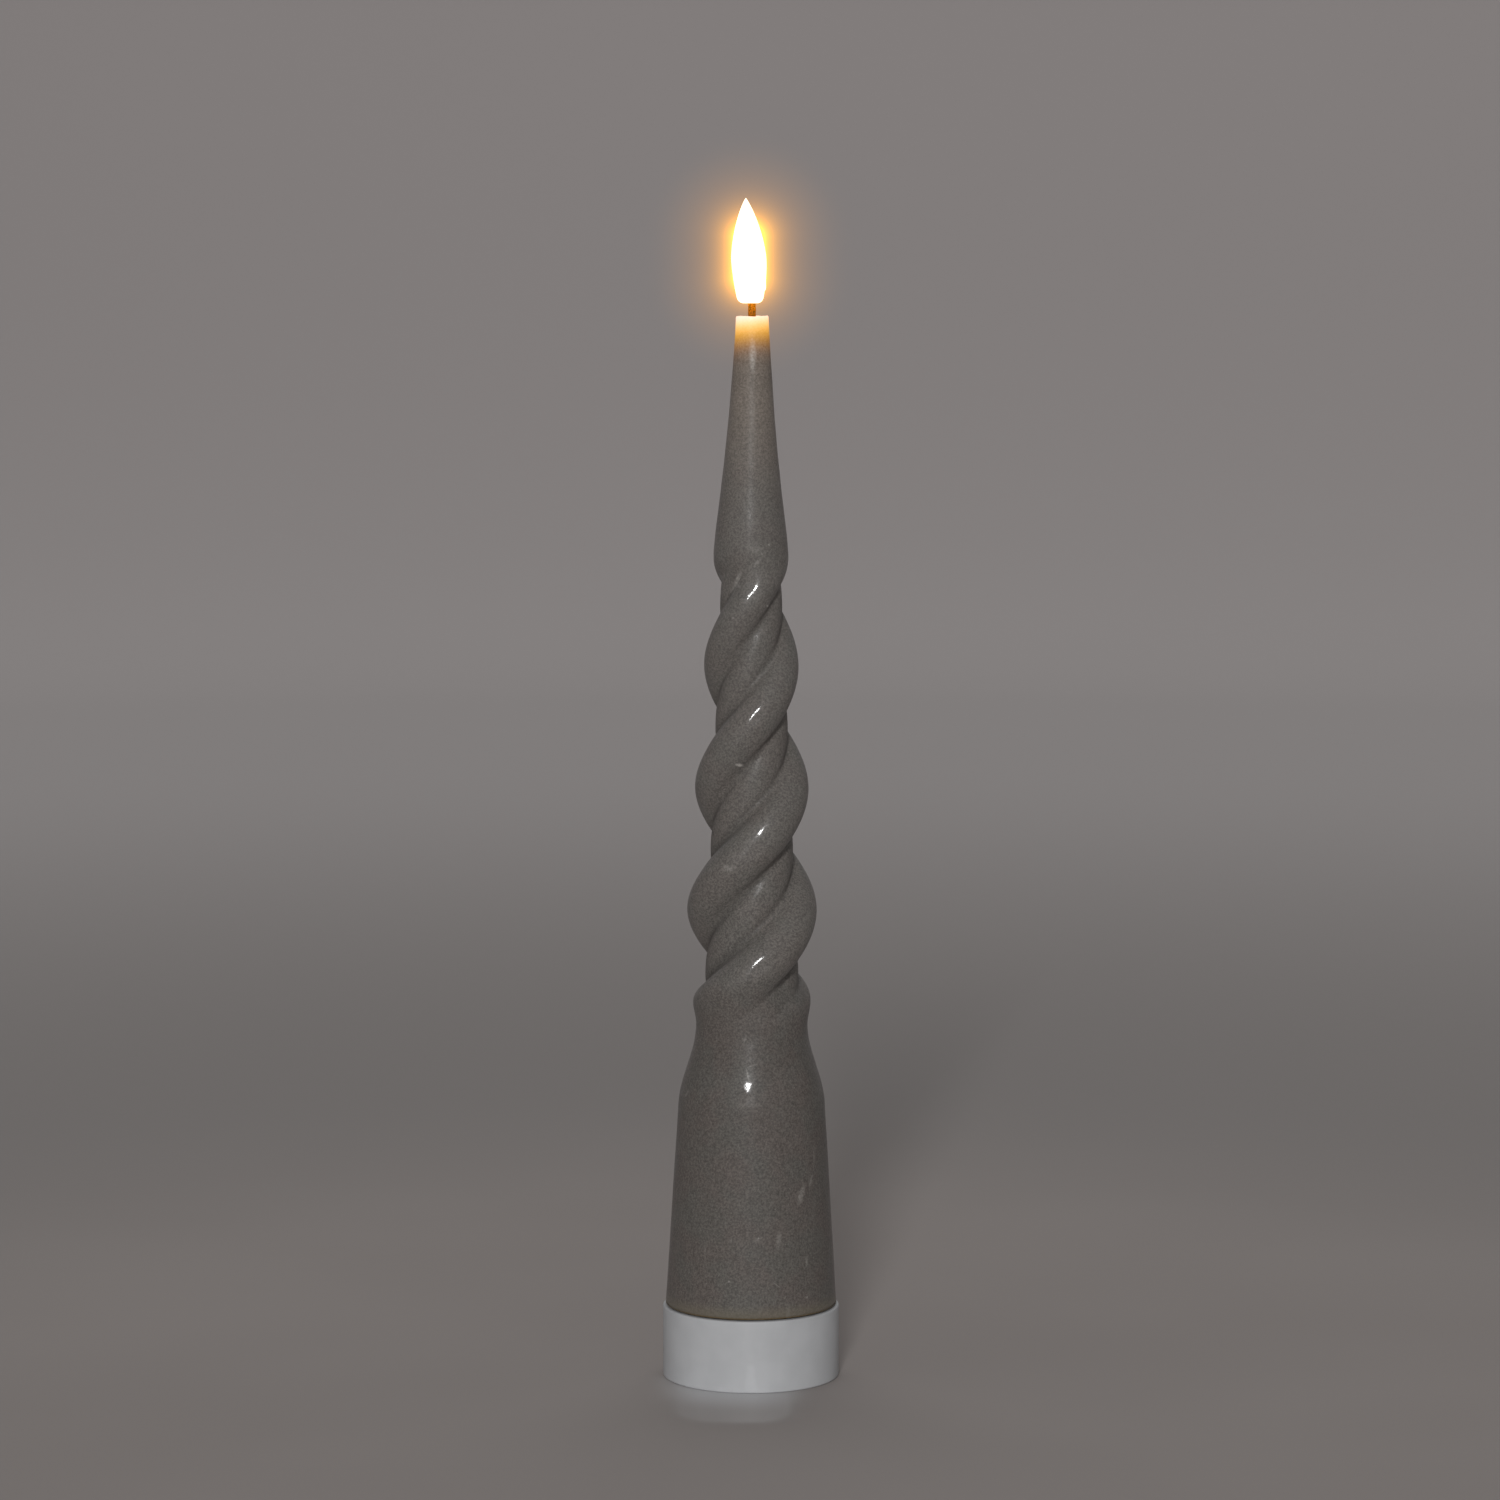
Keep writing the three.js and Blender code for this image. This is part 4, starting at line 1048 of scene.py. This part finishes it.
ivory = plastic("inner_plastic", paint(214, 210, 198), paint(206, 202, 189))
black = plastic(
    "black_plastic", paint(34, 33, 32), paint(26, 25, 24), roughness=0.5, grain=0.3
)
spring = metal("spring_steel", paint(205, 206, 208), paint(176, 178, 181))
zinc = metal("screw_steel", paint(188, 190, 192), paint(160, 162, 165), roughness=0.34)
red = glossy("red_insulation", paint(172, 36, 28), paint(150, 28, 22))
ceramic = glossy("capacitor_ceramic", paint(190, 158, 116), paint(170, 138, 98))
epoxy = glossy("led_epoxy", paint(250, 232, 176), paint(240, 216, 150))
dress(
    ivory,
    "contact_carrier", "battery_housing", "stem_foot", "stem_tube", "wick_holder", "led_seat",
)
dress(black, "switch_knob", "timer_chip", "led_resistor", "black_wire")
dress(
    spring,
    "switch_case", "lower_negative_spring", "lower_positive_plate",
    "upper_positive_plate", "upper_negative_spring",
)
dress(
    zinc,
    "carrier_screw_1", "carrier_screw_2", "board_screw_1", "board_screw_2", "timing_crystal",
)
dress(board_finish(), "switch_board", "control_board")
dress(red, "red_wire")
dress(ceramic, "supply_capacitor")
dress(epoxy, "flame_led")
dress_cell("battery_cell_1", "cell_jacket_1", positive_up=True)
dress_cell("battery_cell_2", "cell_jacket_2", positive_up=False)


# Glow in the air round the flame, from a core that is a short upright line inside it

HALO_REACH = 30
HALO_EDGE = (0.5 * HALO_REACH, 0.8 * HALO_REACH)
HALO_FADE = 3.25
HALO_STRENGTH = 17.3
HALO_CORE = (FLAME_MIDDLE - 5.5, FLAME_MIDDLE + 2.5)
HALO_CORE_X = FLAME_START + FLAME_LEAN / 3
HALO_NEAREST = 2.4
HALO_COLOR = (1.0, 0.41, 0.0, 1)


def halo_finish():
    """Light that fades with the distance from the flame's core."""
    halo = Finish("flame_glow")
    x, y, z = (halo.axis(index) for index in range(3))
    low, high = HALO_CORE
    core_z = halo.maths("MINIMUM", halo.maths("MAXIMUM", z, low), high)
    offset = halo.node("CombineXYZ", {
        0: halo.maths("SUBTRACT", x, HALO_CORE_X), 1: y, 2: halo.maths("SUBTRACT", z, core_z),
    })
    distance = halo.length(offset)
    density = halo.maths("POWER", halo.maths("MAXIMUM", distance, HALO_NEAREST), -HALO_FADE)
    faded = halo.maths("MULTIPLY", density, halo.ramp(distance, *HALO_EDGE, 1, 0))
    strength = halo.maths("MULTIPLY", faded, HALO_STRENGTH / MM)
    light = halo.node("Emission", {"Color": HALO_COLOR, "Strength": strength})
    halo.tree.links.new(light, halo.tree.nodes["Material Output"].inputs["Volume"])
    halo.tree.nodes.remove(halo.shader)
    halo.material.cycles.volume_step_rate = 0.25
    return halo.material


def add_halo():
    """Light in the air that a camera sees round a lamp. It is no piece, and lights nothing."""
    outline = [
        (HALO_REACH * math.sin(a), FLAME_MIDDLE - HALO_REACH * math.cos(a))
        for a in np.linspace(0, math.pi, 25)[1:-1]
    ]
    made = placed("flame_glow", skin("flame_glow", turned(outline, HALO_COLUMNS)), halo_finish())
    for ray in ("diffuse", "glossy", "transmission", "shadow", "volume_scatter"):
        setattr(made, "visible_" + ray, False)
    made.parent = flame


add_halo()


# Stage, lamps and camera

# Floor and backdrop in one sheet of paper: rings of its floor, where it bends up, and its wall
PAPER_RINGS = (1, 60, 150, 300, 500, 800, 1200)
PAPER_FLAT, PAPER_BEND, PAPER_WALL = 1700, 500, 560

# Its colours: near the candle, and those that come in between two distances
PAPER_PATCHES = 160
PAPER_NEAR = ((137, 130, 127), (141, 134, 131))
# Painted shade in the darker band out to 380, like that where a floor bends up into a backdrop;
# painted light in the paler band beyond it, like that on a lit backdrop
PAPER_AWAY = (
    (140, 380, (128, 123, 121)),
    (380, 1300, (154, 149, 148)),
    (1700, 2200, (130, 125, 124)),
)

# Two patches on the paper in front of the ring: the light that the white ring throws there, and
# a smoother place. Both fade with the distance, to the sides of their middle, and to the back.
SPILL_TONE = (182, 181, 182)
SPILL_FADE = (RING_RADIUS - 1, RING_RADIUS + 18)
SMOOTH_FADE = (RING_RADIUS + 15, RING_RADIUS + 35)
SMOOTH_ROUGHNESS, PAPER_ROUGHNESS = 0.32, 1.0
PATCH_MIDDLE = -4
PATCH_SIDES = (5, 19)
PATCH_BACK = (-6, 0)


def paper_finish():
    """Matt pale paper, with painted shade and painted light in bands that change with the distance.
    """
    paper = Finish("sweep", ior=1.65)
    dark, light = (paint(*tone) for tone in PAPER_NEAR)
    color = paper.blend(paper.spread(paper.noise(PAPER_PATCHES)), dark, light)
    color = paper.blend(before_ring(paper, *SPILL_FADE), color, paint(*SPILL_TONE))
    away = paper.from_axis()
    for low, high, tone in PAPER_AWAY:
        color = paper.blend(paper.ramp(away, low, high), color, paint(*tone))
    paper.set("Base Color", color)
    smooth = before_ring(paper, *SMOOTH_FADE)
    paper.set("Roughness", paper.ramp(smooth, 0, 0.6, PAPER_ROUGHNESS, SMOOTH_ROUGHNESS))
    return paper.material


def before_ring(paper, full, none):
    """Share of a patch in front of the ring, which fades between two distances."""
    beyond = paper.ramp(paper.length(paper.place), full, none, 1, 0)
    across = paper.maths("ABSOLUTE", paper.maths("ADD", paper.axis(0), -PATCH_MIDDLE))
    sideways = paper.ramp(across, *PATCH_SIDES, 1, 0)
    front = paper.ramp(paper.axis(1), *PATCH_BACK, 1, 0)
    return paper.maths("MULTIPLY", paper.maths("MULTIPLY", beyond, sideways), front)


def add_sweep():
    """Round floor that curves up into a backdrop on all sides."""
    outline = [(radius, 0) for radius in PAPER_RINGS]
    outline += [
        (PAPER_FLAT + PAPER_BEND * math.sin(a), PAPER_BEND * (1 - math.cos(a)))
        for a in np.linspace(0, math.pi / 2, 12)
    ]
    outline.append((PAPER_FLAT + PAPER_BEND, PAPER_WALL))
    made = placed("sweep", sheet("sweep", turned(outline, PAPER_COLUMNS)), paper_finish())
    made.visible_shadow = False
    soften(made, sharp=60)


# Far lamps: name, azimuth, elevation and spread in degrees, strength, and if reflections show it
LAMPS = (
    ("key", -6, 22, 7, 1.56, True),
    ("window", 2, -3, 24, 0.28, True),
    ("window_top", -2, 10, 20, 0.12, True),
    ("low_fill", -5, -14, 40, 0.65, False),
    ("back_fill", 180, 55, 50, 0.8, False),
)
SKY = 0.21


def add_lamp(name, azimuth, elevation, spread, strength, mirrored):
    """A far lamp of even light, by its direction and its width in the sky."""
    data = bpy.data.lights.new(name, "SUN")
    data.angle = math.radians(spread)
    data.energy = strength
    made = bpy.data.objects.new(name, data)
    bpy.context.scene.collection.objects.link(made)
    turn, tilt = math.radians(azimuth), math.radians(elevation)
    level = math.cos(tilt)
    out = Vector((math.sin(turn) * level, -math.cos(turn) * level, math.sin(tilt)))
    made.location = out
    made.rotation_mode = "QUATERNION"
    made.rotation_quaternion = out.to_track_quat("Z", "Y")
    made.visible_glossy = mirrored


def add_sky(strength):
    world = bpy.data.worlds.new("studio")
    world.use_nodes = True
    background = world.node_tree.nodes["Background"]
    background.inputs["Color"].default_value = (1, 1, 1, 1)
    background.inputs["Strength"].default_value = strength
    bpy.context.scene.world = world


# The photo's viewpoint, with the pitch in degrees and the lens in millimetres
CAMERA_DISTANCE = 1000
CAMERA_HEIGHT = 232.2
CAMERA_X = -0.21
CAMERA_PITCH = 5.52
CAMERA_CLIP = 100000
SENSOR = 36
LENS = 112.85


def add_camera():
    data = bpy.data.cameras.new("camera")
    data.sensor_width = SENSOR
    data.lens = LENS
    data.clip_end = CAMERA_CLIP * MM
    made = bpy.data.objects.new("camera", data)
    bpy.context.scene.collection.objects.link(made)
    made.location = Vector((CAMERA_X, -CAMERA_DISTANCE, CAMERA_HEIGHT)) * MM
    made.rotation_euler = (math.radians(90 - CAMERA_PITCH), 0, 0)
    bpy.context.scene.camera = made


add_sweep()
for lamp in LAMPS:
    add_lamp(*lamp)
add_sky(SKY)
add_camera()
bpy.context.scene.view_settings.view_transform = "Standard"
